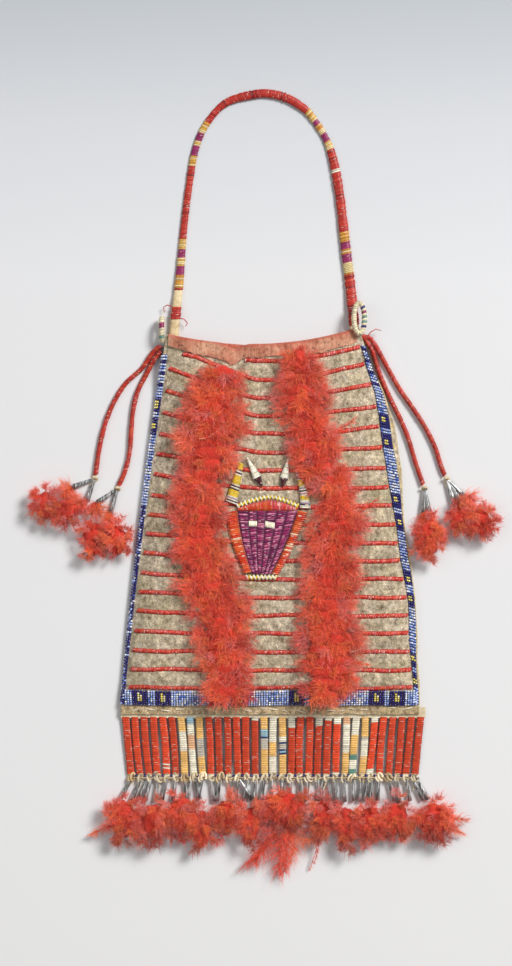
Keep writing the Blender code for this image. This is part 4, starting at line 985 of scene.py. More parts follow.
# By cheek: its side, its widths at the quarters of its height, and how its rows sag, in millimetres
CHEEKS = {
    "cheek_left": (-1, (9.6, 8.2, 8.0, 6.8, 5.2), 0.8), "cheek_right": (1, (7.6, 6.4, 5.8, 5.6, 5.0), -0.6),
}
for part, (sign, widths, sag) in CHEEKS.items():
    for row in range(CHEEK_ROWS):
        down = (row + 0.5) / CHEEK_ROWS
        wide = np.interp(down, (0, 0.25, 0.5, 0.75, 1), widths) * MM
        wide *= rng.uniform(0.94, 1.06)
        x = face_x(sign, down) + sign * (0.4 * MM + wide / 2)
        y = FACE_TOP_Y - FACE_HEIGHT * down + sag * MM * math.sin(2 * down)
        mix = ((0.56, ink(228, 70, 36)), (0.38, ink(242, 106, 50)), (0.06 * (down > 0.12), ink(252, 206, 164)))
        lean = (0.12 * sign, 1, 0)
        stitch_shape(part, on_head(x, y), lean, 1.56 * MM, wide, 0.8 * MM, choose(1, mix), 0.06 * sign)


def brow_y(across):
    """Upper edge of the brow: low at both ends, with its peak a little right of the middle."""
    off = abs(across - 0.08) / (1.08 if across < 0.08 else 0.92)
    return FACE_TOP_Y + (2.4 + 6.6 * (1 - off**1.5)) * MM


BROW_STITCHES = 42
BROW_LEFT_MIX = ((0.6, ink(222, 70, 40)), (0.4, ink(234, 100, 56)))
BROW_RIGHT_MIX = ((0.55, ink(230, 84, 96)), (0.3, ink(222, 70, 60)), (0.15, ink(246, 160, 160)))
for i in range(BROW_STITCHES):
    across = blend(-1, 1, (i + 0.5) / BROW_STITCHES)
    low, high = FACE_TOP_Y + 0.5 * MM, brow_y(across)
    tint = choose(1, BROW_LEFT_MIX if across < 0.15 else BROW_RIGHT_MIX)
    spot = on_head(HEAD_X + across * FACE_TOP_WIDTH / 2, (low + high) / 2)
    stitch_shape("brow", spot, (1, 0, 0), FACE_TOP_WIDTH / BROW_STITCHES * 1.1, high - low, 0.7 * MM, tint)

# The trims: plaited quills, whose folds show as yellow and white points by turns
YELLOW_QUILL, WHITE_QUILL = ink(246, 212, 52), ink(255, 250, 226)
TRIM_POINTS, CHIN_POINTS, TRIM_LEAN = 32, 16, 0.62
for i in range(TRIM_POINTS):
    across = blend(-1.03, 1.03, (i + 0.5) / TRIM_POINTS)
    y = brow_y(np.clip(across, -1, 1)) + 1.9 * MM
    lean = TRIM_LEAN if i % 2 else -TRIM_LEAN
    spot, long = on_head(HEAD_X + across * FACE_TOP_WIDTH / 2, y, 0.1 * MM), rng.uniform(3.4, 4.2) * MM
    tint = varied(YELLOW_QUILL if i % 2 else WHITE_QUILL)
    stitch_shape("brow_trim", spot, (lean, 1, 0), long, 1.7 * MM, 0.8 * MM, tint)
for i in range(CHIN_POINTS):
    x = HEAD_X + FACE_LEAN + blend(-11.6, 11.2, (i + 0.5) / CHIN_POINTS) * MM
    lean = TRIM_LEAN if i % 2 else -TRIM_LEAN
    tone = YELLOW_QUILL if i % 2 and i < 6 else WHITE_QUILL if i % 2 == 0 else ink(252, 236, 160)
    spot, long = on_head(x, FACE_TOP_Y - FACE_HEIGHT - 2.6 * MM, 0.1 * MM), rng.uniform(3.6, 4.6) * MM
    stitch_shape("chin_trim", spot, (lean, 1, 0), long, 1.8 * MM, 0.8 * MM, varied(tone))

# By horn: places from root to tip in millimetres, stripes, and widths at root and tip
YELLOW, WHITE, BLACK, GREY = ink(246, 206, 44), ink(252, 246, 222), ink(56, 36, 60), ink(176, 156, 176)
STRIPE_TONES = {"y": YELLOW, "w": WHITE, "k": BLACK, "g": GREY}
HORN_LENGTH, STRIPE_OVERLAP = 31 * MM, 1.12
HORNS = {
    "horn_left": (((-29.2, 17), (-27, 26), (-24.4, 36), (-21.8, 46.8)), "wkwgwyyyyykwkwyyyyyywkwkyyyy", (9.2, 4.0)),
    "horn_right": (((26.6, 13), (26, 22), (23.6, 31), (20, 41)), "wwkgwwyyywgwkwgwyyyywkgwgw", (8.2, 2.6)),
}
for part, (line_points, stripes, wide) in HORNS.items():
    fine = np.array(line_points) * MM
    steps, last = range(len(fine)), len(fine) - 1
    for i, tone in enumerate(stripes):
        t = (i + 0.5) / len(stripes)
        spot = at_lengths(t * last, steps, fine)
        run = at_lengths(min(t * last + 0.2, last), steps, fine) - at_lengths(max(t * last - 0.2, 0), steps, fine)
        long, across = HORN_LENGTH / len(stripes) * STRIPE_OVERLAP, blend(*wide, t) * rng.uniform(0.94, 1.05) * MM
        tint = varied(STRIPE_TONES[tone])
        stitch_shape(part, on_head(*spot, 0.3 * MM), (*run, 0), long, across, 0.8 * MM, tint, 0.12)

# By ear: root and tip in millimetres. An ear is widest, and goes from dark to white, about a third of the way up.
EAR_STITCHES, EAR_LENGTH, EAR_WIDEST, EAR_DARK = 22, 25 * MM, 0.34, 0.3
for part, root, tip in (("ear_left", (-5.9, 29.2), (-17.2, 50.9)), ("ear_right", (9.4, 29.2), (13.4, 49.6))):
    root, tip = np.array(root) * MM, np.array(tip) * MM
    for i in range(EAR_STITCHES):
        t = (i + 0.5) / EAR_STITCHES
        spot = on_head(*blend(root, tip, t), 0.2 * MM)
        below = t < EAR_WIDEST
        wide = blend(1.2, 6.4, t / EAR_WIDEST) if below else blend(6.2, 1.2, (t - EAR_WIDEST) / (1 - EAR_WIDEST))
        tone = ink(74, 28, 34) if t < EAR_DARK else (ink(255, 252, 232) if i % 5 else ink(226, 214, 180))
        long = EAR_LENGTH / EAR_STITCHES * STRIPE_OVERLAP
        stitch_shape(part, spot, (*(tip - root), 0), long, wide * MM, 0.7 * MM, PAINTED_LIGHT_BOOST * varied(tone))

HEAD_SLOTS = {
    "face": "purple_quill", "cheek_left": "red_quill", "cheek_right": "red_quill", "brow": "red_quill",
    "brow_trim": "yellow_quill", "chin_trim": "yellow_quill", "horn_left": "yellow_quill",
    "horn_right": "yellow_quill", "ear_left": "rawhide", "ear_right": "rawhide",
}
for part, slot in HEAD_SLOTS.items():
    made = piece_of(f"quilled_{part}", *joined(head_shapes[part]), quill_finish)
    stand_in(f"head_{part}")


# Slat fringe: one comb of rawhide sewn in the hem and cut into 33 slats, each wrapped from top to foot with
# flattened quills. Most are red; some have bands of orange, cream, blue and green. The slats' ends stay bare.
SLAT_COUNT, SLAT_WIDTH, SLAT_LENGTH, SLAT_THICKNESS = 33, 6 * MM, 43.5 * MM, 2.2 * MM
SLAT_TOP_PITCH, SLAT_FOOT_PITCH, FRINGE_X, COMB_SHOWS = 7 * MM, 6.71 * MM, 2.4 * MM, 1.4 * MM
WRAPS = 32
SLAT_RED, SLAT_ORANGE, SLAT_CREAM = ink(242, 80, 42), ink(254, 200, 116), ink(254, 246, 220)
SLAT_SKY, SLAT_GREY, SLAT_INK = ink(168, 208, 220), ink(205, 196, 178), ink(44, 58, 112)
SLAT_GREEN, SLAT_PEACH = ink(112, 158, 140), ink(240, 186, 140)
# The slats that aren't plain red, by number from the left: the share of the length where each band ends
SLAT_BANDS = {
    5: ((0.80, SLAT_RED), (0.84, SLAT_CREAM), (0.88, SLAT_RED), (0.91, SLAT_CREAM), (1, SLAT_RED)),
    7: ((0.24, SLAT_ORANGE), (0.58, SLAT_CREAM), (1, SLAT_ORANGE)),
    8: ((0.12, SLAT_SKY), (0.32, SLAT_CREAM), (0.55, SLAT_PEACH), (1, SLAT_CREAM)),
    9: ((0.36, SLAT_ORANGE), (0.62, SLAT_GREY), (0.64, SLAT_INK), (0.7, SLAT_GREY), (1, SLAT_ORANGE)),
    15: ((0.07, SLAT_CREAM), (1, SLAT_RED)),
    16: ((0.22, SLAT_ORANGE), (0.34, SLAT_SKY), (0.38, SLAT_INK), (0.56, SLAT_GREY), (1, SLAT_ORANGE)),
    17: ((0.44, SLAT_CREAM), (0.68, SLAT_ORANGE), (1, SLAT_CREAM)),
    18: ((0.33, SLAT_ORANGE), (0.44, SLAT_CREAM), (0.47, SLAT_INK), (0.55, SLAT_GREY), (0.60, SLAT_INK),
         (0.64, SLAT_SKY), (0.67, SLAT_INK), (1, SLAT_ORANGE)),
    19: ((0.18, SLAT_CREAM), (1, SLAT_RED)),
    22: ((0.15, SLAT_CREAM), (1, SLAT_RED)),
    23: ((0.06, SLAT_CREAM), (1, SLAT_RED)),
    24: ((0.14, SLAT_CREAM), (0.96, SLAT_RED), (1, SLAT_CREAM)),
    25: ((0.12, SLAT_PEACH), (0.5, SLAT_CREAM), (0.52, SLAT_GREY), (0.62, SLAT_CREAM), (1, SLAT_ORANGE)),
    26: ((0.3, SLAT_CREAM), (0.66, SLAT_ORANGE), (0.76, SLAT_GREEN), (0.92, SLAT_CREAM), (1, SLAT_GREEN)),
    27: ((0.34, SLAT_ORANGE), (0.42, SLAT_GREY), (0.7, SLAT_CREAM), (1, SLAT_ORANGE)),
    28: ((0.08, SLAT_CREAM), (0.9, SLAT_RED), (1, SLAT_CREAM)),
}


def slat_x(number, down):
    """Middle of a slat, with down 0 at the hem and 1 at its foot."""
    return FRINGE_X + blend(SLAT_TOP_PITCH, SLAT_FOOT_PITCH, down) * (number - (SLAT_COUNT - 1) / 2)


# A slat in section, and the painted shade on each of its sides
SLAT_SECTION = np.array([
    (1, -0.45), (1, 0.45), (0.86, 0.86), (0.45, 1), (-0.45, 1), (-0.86, 0.86), (-1, 0.45), (-1, -0.45), (-0.8, -1),
    (0.8, -1),
])
SLAT_SIDE_SHADE = np.array((0.25, 0.6, 1, 1, 1, 0.6, 0.25, 0.25, 0.2, 0.25))
SIDES = len(SLAT_SIDE_SHADE)
WRAP_STEPS = 3  # rings in one wrap: its groove, its ridge and its far slope
# WRAP_SHADE paints shade in each wrap's groove and light on its ridge; SLAT_GLINT is the colour of painted
# highlights.
WRAP_SHADE, SLAT_GLINT = np.array((0.42, 1.2, 0.96)), np.array(ink(255, 224, 206))
slat_top, slat_foot = BASE_Y - COMB_SHOWS, BASE_Y - COMB_SHOWS - SLAT_LENGTH
shapes = []
for number in range(SLAT_COUNT):
    bands = SLAT_BANDS.get(number + 1, ((1, SLAT_RED),))
    steps = WRAPS * WRAP_STEPS
    downs = np.linspace(0, 1, steps + 1)
    phase = np.arange(steps + 1) % WRAP_STEPS
    swell_out = np.where(phase == 0, -0.3, 0.03) * MM
    sway, slip = rng.normal(0, 0.35) * MM, rng.normal(0, 0.42) * MM
    xs = slat_x(number, downs) + sway * np.sin(np.pi * downs) + slip * (downs - 0.2)
    ys = blend(slat_top, slat_foot, downs)
    zs = blend(HIDE + CLEAR + COMB / 2, SLAT_THICKNESS / 2 + CLEAR, downs)
    wander = np.repeat(rng.normal(0, 0.06, WRAPS + 1), WRAP_STEPS)[:steps + 1] * MM
    half_wide = rng.uniform(2.74, 3.02) * MM + swell_out + wander
    half_high = SLAT_THICKNESS / 2 + swell_out
    corners = np.empty((steps + 1, SIDES, 3))
    corners[:, :, 0] = xs[:, None] + SLAT_SECTION[None, :, 0] * half_wide[:, None]
    tilt = rng.normal(0, 0.05)
    corners[:, :, 1] = ys[:, None] + tilt * SLAT_SECTION[None, :, 0] * SLAT_WIDTH / 2
    corners[:, :, 2] = zs[:, None] + SLAT_SECTION[None, :, 1] * half_high[:, None]
    i, j = np.meshgrid(np.arange(steps), np.arange(SIDES), indexing="ij")
    a, b = i * SIDES + j, i * SIDES + (j + 1) % SIDES
    faces = np.stack([a, b, b + SIDES, a + SIDES], axis=-1).reshape(-1, 4)
    middles = (np.arange(WRAPS) + 0.5) / WRAPS
    wrap_tones = np.array([next(colour for end, colour in bands if middle <= end) for middle in middles])
    whole = rng.uniform(0.8, 1.08)
    wrap_tones = wrap_tones * rng.uniform(0.84, 1.1, (WRAPS, 1)) * (1.16 if len(bands) > 2 else whole)
    tints = wrap_tones[:, None, None] * WRAP_SHADE[None, :, None, None]
    tints = tints * rng.uniform(0.86, 1.12, (WRAPS, WRAP_STEPS, SIDES, 1)) * SLAT_SIDE_SHADE[None, None, :, None]
    on_ridge = (np.arange(WRAP_STEPS) == 1)[None, :, None]
    glints = (rng.random((WRAPS, WRAP_STEPS, SIDES)) < 0.1) & on_ridge
    tints = np.where(glints[..., None], blend(tints, SLAT_GLINT, 0.6), tints).reshape(-1, 3)
    shapes.append((corners.reshape(-1, 3), [faces], [tints]))
slats = piece_of("wrapped_slats", *joined(shapes), quill_finish)
stand_in()


def lay_comb(across, up):
    """The comb's bare edge, sewn in the hem."""
    x = FRINGE_X + (across - 0.5) * SLAT_TOP_PITCH * SLAT_COUNT
    y = blend(slat_top - 0.9 * MM, BASE_Y + HEM - 1.5 * MM, up)
    ragged = 0.8 * MM * ripple(x, y, 4 * MM, 12) * (1 - up)
    return x, y + ragged, HIDE + CLEAR + COMB + 0.08 * MM * ripple(x, y, 6 * MM, 13)


comb = grid_piece("rawhide_comb", 160, 6, lay_comb, rawhide_finish, COMB)
layer = comb.data.color_attributes.new("tint", "FLOAT_COLOR", "CORNER")
layer.data.foreach_set("color", np.tile((*CREAM, 1), len(comb.data.loops)).astype(float))
stand_in("slat_fringe")


# Tie under the slats: a sinew cord through every foot, tied off in a rawhide knot at each slat with a dark blue
# bead between two, and rolled tin cones pinched on the ends of the knots.
KNOT = 2.5 * MM
TIE_Y = slat_foot - CLEAR - KNOT
CONE_LENGTH, CONE_NARROW, CONE_MOUTH, FRINGE_CONE_MOUTH = 17 * MM, 1 * MM, 2.1 * MM, 1.7 * MM
CONE_DROP, TIN, TIN_GREY = -0.02, 0.24 * MM, (0.5, 0.5, 0.5)
shapes = []
for number in range(SLAT_COUNT):
    x, z = slat_x(number, 1), 2.6 * MM
    tone = jittered([CREAM if rng.random() < 0.7 else TAN])[0]
    bare_foot = np.array([
        (x, slat_foot + 0.6 * MM, 1.5 * MM), (x, slat_foot - 0.6 * MM, 1.5 * MM),
        (x + 0.2 * MM, slat_foot - 1.9 * MM, 1.6 * MM),
    ])
    shapes.append((*tube(bare_foot, np.array((2.6, 2.5, 1.7)) * MM, 8, flat=0.4), jittered([CREAM])[0]))
    lean = rng.normal(0, 0.28)
    loops = rng.integers(1, 3)
    for k in range(loops):
        turn = np.linspace(0.15, 2 * np.pi * rng.uniform(0.66, 0.94), 12)
        turn = turn * rng.choice((-1, 1)) + rng.uniform(-0.6, 0.6)
        size = rng.uniform(0.95, 1.25)
        off = (k - 0.5 * (loops - 1)) * 1.9 * MM
        centre = np.array((x + off, TIE_Y + rng.uniform(-0.6, 0.9) * MM, z + 0.6 * k * MM))
        ring = np.stack([1.55 * np.cos(turn), 2.9 * np.sin(turn), 0.7 * np.sin(turn * 2 + k)], axis=-1) * size * MM
        c, s = math.cos(lean), math.sin(lean)
        turned = np.stack([ring[:, 0] * c - ring[:, 1] * s, ring[:, 0] * s + ring[:, 1] * c, ring[:, 2]], axis=-1)
        thick = rng.uniform(0.8, 1.05) * MM
        shapes.append((*tube(centre + turned, thick, 6, flat=0.7), jittered([tone])[0]))
    tail = rng.uniform(3, 9) * MM
    side = rng.normal(0, 0.9) * MM
    drop = np.linspace(0, 1, 6)
    tail_x = x + side * drop + 0.5 * MM * np.sin(3 * drop)
    line_down = np.stack([tail_x, TIE_Y - 0.5 * MM - tail * drop, z - 0.8 * MM * drop], axis=-1)
    shapes.append((*tube(line_down, (1.15 - 0.5 * drop) * MM, 5, flat=0.55), jittered([tone])[0]))
run = np.array([
    (slat_x(n, 1) + off, TIE_Y + 0.4 * MM * math.sin(n * 2.2), 2.2 * MM)
    for n in range(SLAT_COUNT) for off in (-1.5 * MM, 1.5 * MM)
])
shapes.append((*tube(run, 0.55 * MM, 5), jittered([TAN])[0]))
knots = piece_of("tie_knots", *joined(shapes), rawhide_finish)
stand_in("fringe_tie")

places = np.array([
    ((slat_x(n, 1) + slat_x(n + 1, 1)) / 2, TIE_Y + 1.6 * MM, 2.4 * MM) for n in range(SLAT_COUNT - 1)
])
count = len(places)
threads, ups = np.tile((1.0, 0, 0), (count, 1)), np.tile(UP, (count, 1))
spacers = bead_work("tie_beads", places, threads, ups, 2.3 * MM, 1.7 * MM, jittered([DARK_BLUE] * count))
stand_in()

# Rolled tin: dull grey with bright streaks along each cone, partly scratches and partly painted highlights
tin_finish, tree, shader = fresh_finish("rolled_tin", 0.34, Metallic=0.7)
scratches_and_highlights = noise_of(tree, 900, 4, stretch=(1, 0.08, 1), roughness=0.7)
tarnish = noise_of(tree, 220, 4)
tin_colour = ramp(tree, scratches_and_highlights, ((0.38, ink(88, 90, 90)), (0.5, ink(176, 178, 178)), (0.6, ink(252, 252, 250))))
tin_colour = mottled(tree, 0.8, tin_colour, tarnish, ((0.35, (0.5, 0.48, 0.44)), (0.6, (1.1, 1.1, 1.1))))
colour_with(tree, shader, tin_colour)
relief(tree, shader, scratches_and_highlights, 0.35, 0.2 * MM)


def rolled_cone(knot, heading, length, drop=0.0, mouth=CONE_MOUTH):
    """A cone rolled from a tin trapezium: a spiral wall, wider at its mouth, with the seam overlapping."""
    around = np.linspace(0, 2 * np.pi * 1.12, 13)
    downs = np.array([0.0, 0.35, 0.7, 1.0])
    direction = np.array((math.cos(heading), math.sin(heading), drop))
    direction /= np.linalg.norm(direction)
    across = unit(np.cross(direction, UP))
    rise = np.cross(across, direction)
    start = rng.uniform(0, 2 * np.pi)
    grow = 1 + 0.10 * around / around[-1]
    corners = np.empty((2, len(downs), len(around), 3))
    for wall, thin in enumerate((0.0, TIN)):
        for k, down in enumerate(downs):
            radius = (blend(CONE_NARROW, mouth, down) * grow - thin)[:, None]
            pinch = 1 - 0.25 * (1 - down)
            sideways = np.cos(around + start)[:, None] * across
            corners[wall, k] = knot + direction * length * down + radius * (
                sideways + pinch * np.sin(around + start)[:, None] * rise)
    n = len(downs) * len(around)
    outer = grid_faces(1, len(downs), len(around))
    inner = grid_faces(1, len(downs), len(around))[:, ::-1] + n
    last = (len(downs) - 1) * len(around)
    lip = np.array([(last + j, n + last + j, n + last + j + 1, last + j + 1) for j in range(len(around) - 1)])
    return corners.reshape(-1, 3), [np.concatenate([outer, inner, lip])]


shapes = []
for number in range(SLAT_COUNT):
    x = slat_x(number, 1)
    from_middle = (number - SLAT_COUNT // 2) / (SLAT_COUNT // 2)
    pair = 2 if number % 5 == 2 else 1
    for k in range(pair):
        beside = k - 0.5 * (pair - 1)
        heading = math.radians(-90 + 24 * from_middle**9 + rng.normal(0, 10) + beside * 12)
        knot = np.array((x + beside * 3.0 * MM, TIE_Y - rng.uniform(0.5, 2.2) * MM, 2.9 * MM))
        length = CONE_LENGTH * rng.uniform(0.92, 1.04)
        shapes.append((*rolled_cone(knot, heading, length, CONE_DROP, FRINGE_CONE_MOUTH), TIN_GREY))
cones = piece_of("tin_cones", *joined(shapes), tin_finish)
stand_in()


# Dyed down: tufts of soft red breast feathers tied in a row down each side of the front, and stuffed in the tin
# cones. A feather is a thin curved shaft with loose barbs on both sides; each tuft has a heart of matted down.
down_finish, tree, shader = fresh_finish("dyed_down", 0.85, Specular_IOR_Level=0.15, Sheen_Weight=0.35)
own = own_tint(tree)
matted = noise_of(tree, 260, 5)
hairs = noise_of(tree, 750, 5, stretch=(1, 0.45, 1), roughness=0.75)
down_colour = mottled(tree, 0.5, own, matted, ((0.3, (0.74, 0.66, 0.66)), (0.7, (1.15, 1.15, 1.15))))
down_colour = mottled(tree, 0.4, down_colour, hairs, (
    (0.36, (0.6, 0.5, 0.5)), (0.5, (1, 1, 1)), (0.64, (1.3, 1.3, 1.3)),
))
colour_with(tree, shader, down_colour)
relief(tree, shader, hairs, 0.22, 0.8 * MM)
DOWN_RED, DOWN_ORANGE, DOWN_PINK = ink(250, 88, 60), ink(254, 120, 70), ink(252, 132, 122)
DOWN_DARK = ink(216, 60, 44)
DOWN_MIX = ((0.46, DOWN_RED), (0.28, DOWN_ORANGE), (0.14, DOWN_PINK), (0.12, DOWN_DARK))
HEART_SHADE_TONE, PAINTED_LIGHT_PINK, CREAM_SHAFT = ink(212, 60, 44), np.array(ink(248, 164, 158)), ink(238, 214, 180)
FLOOR = 0.25 * MM  # lowest place of any down
BARB_STATIONS = np.array([0.0, 0.35, 0.7, 1.0])
BARB_TAPER = np.array([1.0, 0.95, 0.7, 0])


def feathers(roots, headings, lifts, lengths, fan, tones, barbs, shaft_tone=None, blunt=0.0):
    """Loose feathers: each root's shaft runs along its heading and bends down, with barbs that sweep forward.

    fan is how far a barb reaches as a share of its feather's length, tones are each feather's colour, and blunt
    rounds the tips.
    """
    count = len(roots)
    ahead = np.stack([np.cos(headings) * np.cos(lifts), np.sin(headings) * np.cos(lifts), np.sin(lifts)], axis=-1)
    sideways = np.stack([-np.sin(headings), np.cos(headings), np.zeros(count)], axis=-1)
    upward = np.cross(ahead, sideways)
    bend = rng.normal(0, 0.25, (count, 1))
    droop = rng.uniform(0.15, 0.5, (count, 1))

    def shaft(t):
        """Places on every shaft, at shares t of its length."""
        t = t[..., None]
        bent = ahead[:, None] * t + sideways[:, None] * bend[:, None] * t**2
        return roots[:, None] + lengths[:, None, None] * (bent - UP * droop[:, None] * t**2 * 0.5)

    t = rng.uniform(0.05, 1.0, (count, barbs))
    sign = rng.choice((-1.0, 1.0), (count, barbs))
    reach = fan * lengths[:, None] * (1.05 - 0.55 * (1 - 0.7 * blunt) * t**2)
    reach = reach * rng.uniform(0.5, 1.15, (count, barbs))
    open_out = rng.uniform(0.5, 1.2, (count, barbs)) * (1.1 - 0.55 * (1 - blunt) * t)
    s = BARB_STATIONS[:, None]
    out = (sideways[:, None] * (sign * np.sin(open_out))[..., None])[:, :, None]
    forward = (ahead[:, None] * np.cos(open_out)[..., None])[:, :, None]
    rising = (upward[:, None] * rng.normal(0.06, 0.26, (count, barbs, 1)))[:, :, None]
    curl = rng.normal(0.2, 0.5, (count, barbs, 1, 1))
    wave = rng.normal(0, 0.14, (count, barbs, 1, 3)) * np.sin(np.pi * s)
    wave = wave + rng.normal(0, 0.18, (count, barbs, 1, 3)) * s**2
    spread = out * s + forward * (s + curl * s**2) + rising * s - UP * 0.15 * s**2 + wave
    line = shaft(t)[:, :, None] + reach[..., None, None] * spread
    run = unit(line[:, :, 1:] - line[:, :, :-1])
    run = np.concatenate([run, run[:, :, -1:]], axis=2)
    wide = unit(np.cross(run, UP + rng.normal(0, 0.25, (count, barbs, 1, 3))))
    half = rng.uniform(0.065, 0.155, (count, barbs, 1, 1)) * MM * BARB_TAPER[:, None]
    corners = np.stack([line - wide * half, line + wide * half], axis=3).reshape(-1, 8, 3)[:, :7].reshape(-1, 3)
    first = (np.arange(count * barbs) * 7)[:, None]
    fours = np.concatenate([first + np.array([[0, 1, 3, 2]]), first + np.array([[2, 3, 5, 4]])])
    threes = first + np.array([[4, 5, 6]])
    own_tone = (tones[:, None] * rng.uniform(0.8, 1.18, (count, barbs, 1))).reshape(-1, 3)
    rods = shaft(np.broadcast_to(np.linspace(0, 0.95, 5), (count, 5)))
    turn = np.array([0, 2.1, 4.2])
    around = np.cos(turn)[:, None] * sideways[:, None] + np.sin(turn)[:, None] * upward[:, None]
    thick = (np.array((0.2, 0.18, 0.15, 0.11, 0.03)) * MM)[None, :, None, None]
    rod_corners = (rods[:, :, None] + thick * around[:, None]).reshape(-1, 3)
    i, j = np.meshgrid(np.arange(4), np.arange(3), indexing="ij")
    i, j = i.ravel(), j.ravel()
    one = np.stack([i * 3 + j, i * 3 + (j + 1) % 3, (i + 1) * 3 + (j + 1) % 3, (i + 1) * 3 + j], axis=-1)
    rod_faces = (one[None] + (np.arange(count) * 15)[:, None, None]).reshape(-1, 4) + len(corners)
    rod_tones = np.repeat(tones * 0.8 if shaft_tone is None else np.tile(shaft_tone, (count, 1)), 12, axis=0)
    corners = np.concatenate([corners, rod_corners])
    corners[:, 2] = np.maximum(corners[:, 2], FLOOR)
    # Each barb's root quad is painted darker, as shade deep in the tuft, and its tip lighter pink, as light through
    # the fine barb.
    return (
        corners, [np.concatenate([fours, rod_faces]), threes],
        [np.concatenate([own_tone * 0.8, own_tone, rod_tones]), blend(own_tone, PAINTED_LIGHT_PINK, 0.3)],
    )


def heart(centre, halves, seed):
    """The matted middle of a tuft: a lumpy ball, coloured darker than the plumes, partly the matted down's red and
    partly painted shade in the tuft's depth.
    """
    bpy.ops.object.select_all(action="DESELECT")
    bpy.ops.mesh.primitive_ico_sphere_add(subdivisions=3, radius=1)
    ball = bpy.context.object
    corners = np.array([v.co[:] for v in ball.data.vertices])
    faces = np.array([p.vertices[:] for p in ball.data.polygons])
    bpy.data.objects.remove(ball)
    lumps = 1 + 0.2 * ripple(corners[:, 0] * 1.7 + corners[:, 2], corners[:, 1] * 1.7, 0.8, seed)
    places = np.array(centre) + corners * np.array(halves) * lumps[:, None]
    places[:, 2] = np.maximum(places[:, 2], FLOOR)
    return places, [faces], HEART_SHADE_TONE


def fluff(roots, aims, length, barbs=70, fan=0.85, edge_light=0.0):
    """Short curly plumes, each with its own root and aim in degrees.

    The share of pale pink that each plume is given is painted light at the thin edges of a tuft.
    """
    count = len(roots)
    lit = ripple(roots[:, 0], roots[:, 1], 20 * MM, 31)[:, None]
    tones = choose(count, DOWN_MIX) * (1 + 0.3 * lit)
    tones = blend(tones, np.array(DOWN_ORANGE) * 1.08, np.clip(1.1 * lit, 0, 0.6))
    tones = blend(tones, PAINTED_LIGHT_PINK * 0.9, np.broadcast_to(edge_light, count)[:, None])
    turned = np.radians(aims + rng.normal(0, 22, count))
    rises = np.radians(rng.uniform(-2, 26, count))
    return feathers(roots, turned, rises, rng.uniform(0.7, 1.15, count) * length, fan, tones, barbs, blunt=0.8)


def wisp(x, y, z, heading, length, barbs=120, fan=0.35, shaft_tone=None):
    """One long feather that stands out of the down; places in millimetres and degrees."""
    root, aim = np.array([(x, y, z)]) * MM, np.radians([heading])
    lift, long = np.array([0.05]), np.array([length * MM])
    return feathers(root, aim, lift, long, fan, choose(1, DOWN_MIX), barbs, shaft_tone)


def puff(middle, wide, high, deep, plumes, seed, length=8.5, aim_down=0.4, shade_below=0.35):
    """A rounded tuft: a heart under short plumes that point out of it, with painted shade towards its foot.

    Its places and sizes are in millimetres.
    """
    turn = rng.uniform(0, 2 * np.pi, plumes)
    far = np.sqrt(rng.uniform(0, 1, plumes)) * 0.86
    bumpy = 1 + 0.13 * np.sin(3 * turn + seed) + 0.08 * np.sin(5 * turn + 2 * seed)
    out = np.stack([np.cos(turn) * wide * bumpy, np.sin(turn) * high * bumpy, 0 * turn], axis=-1) * far[:, None]
    out[:, 2] = deep * np.sqrt(1 - far**2) * rng.uniform(0.55, 1, plumes)
    aims = np.degrees(np.arctan2(out[:, 1] / high - aim_down, out[:, 0] / wide + rng.normal(0, 0.25, plumes)))
    # Plumes near the tuft's edge get pale pink: painted light through the thin edges.
    edge_light = np.clip(0.45 * (far - 0.55), 0, 0.2) * 2
    shape = fluff(middle * MM + out * MM, aims, length * MM, barbs=50, fan=0.78, edge_light=edge_light)
    # The plumes are painted darker towards the tuft's foot, as shade.
    low = np.clip((middle[1] * MM - shape[0][:, 1]) / (high * MM), 0, 1)
    for faces, tints in zip(shape[1], shape[2]):
        tints *= 1 - shade_below * low[faces].mean(axis=1)[:, None]
    halves = np.array((wide * 0.8, high * 0.76, deep * 0.72)) * MM
    return [heart((middle - (0, 0.08 * high, 0.2 * deep)) * MM, halves, seed), shape]


# Each column's edges as they lie, from the mouth down: (y, left edge, right edge) in millimetres
LEFT_EDGES = (
    (118, -46, -24), (100, -61, -21), (83, -66, -24), (72, -68, -19), (65, -68, -29), (54, -65, -25),
    (42, -64, -34), (27, -70, -34), (11, -71, -36), (-11, -71, -35), (-30, -70, -31), (-42, -70, -24),
    (-57, -59, -17.5), (-80, -55, -15), (-103, -53, -15), (-125, -53, -14), (-134, -47, -16),
)
RIGHT_EDGES = (
    (131, 16, 26), (120, 11, 34), (110, 12, 38), (99, 5, 43), (87, 5, 42), (76, 18, 40), (68, 15, 54),
    (55, 16, 49), (44, 22, 51), (37, 33, 57), (30, 36, 60), (19, 36, 62), (8, 34, 67), (1.5, 31, 72),
    (-19, 27, 62), (-42, 27, 65), (-65, 23, 62), (-87, 21, 69), (-110, 23, 67), (-132, 28, 53),
)


COLUMN_PLUMES, COLUMN_BARBS, KNOT_SPACING = 455, 52, 8.5


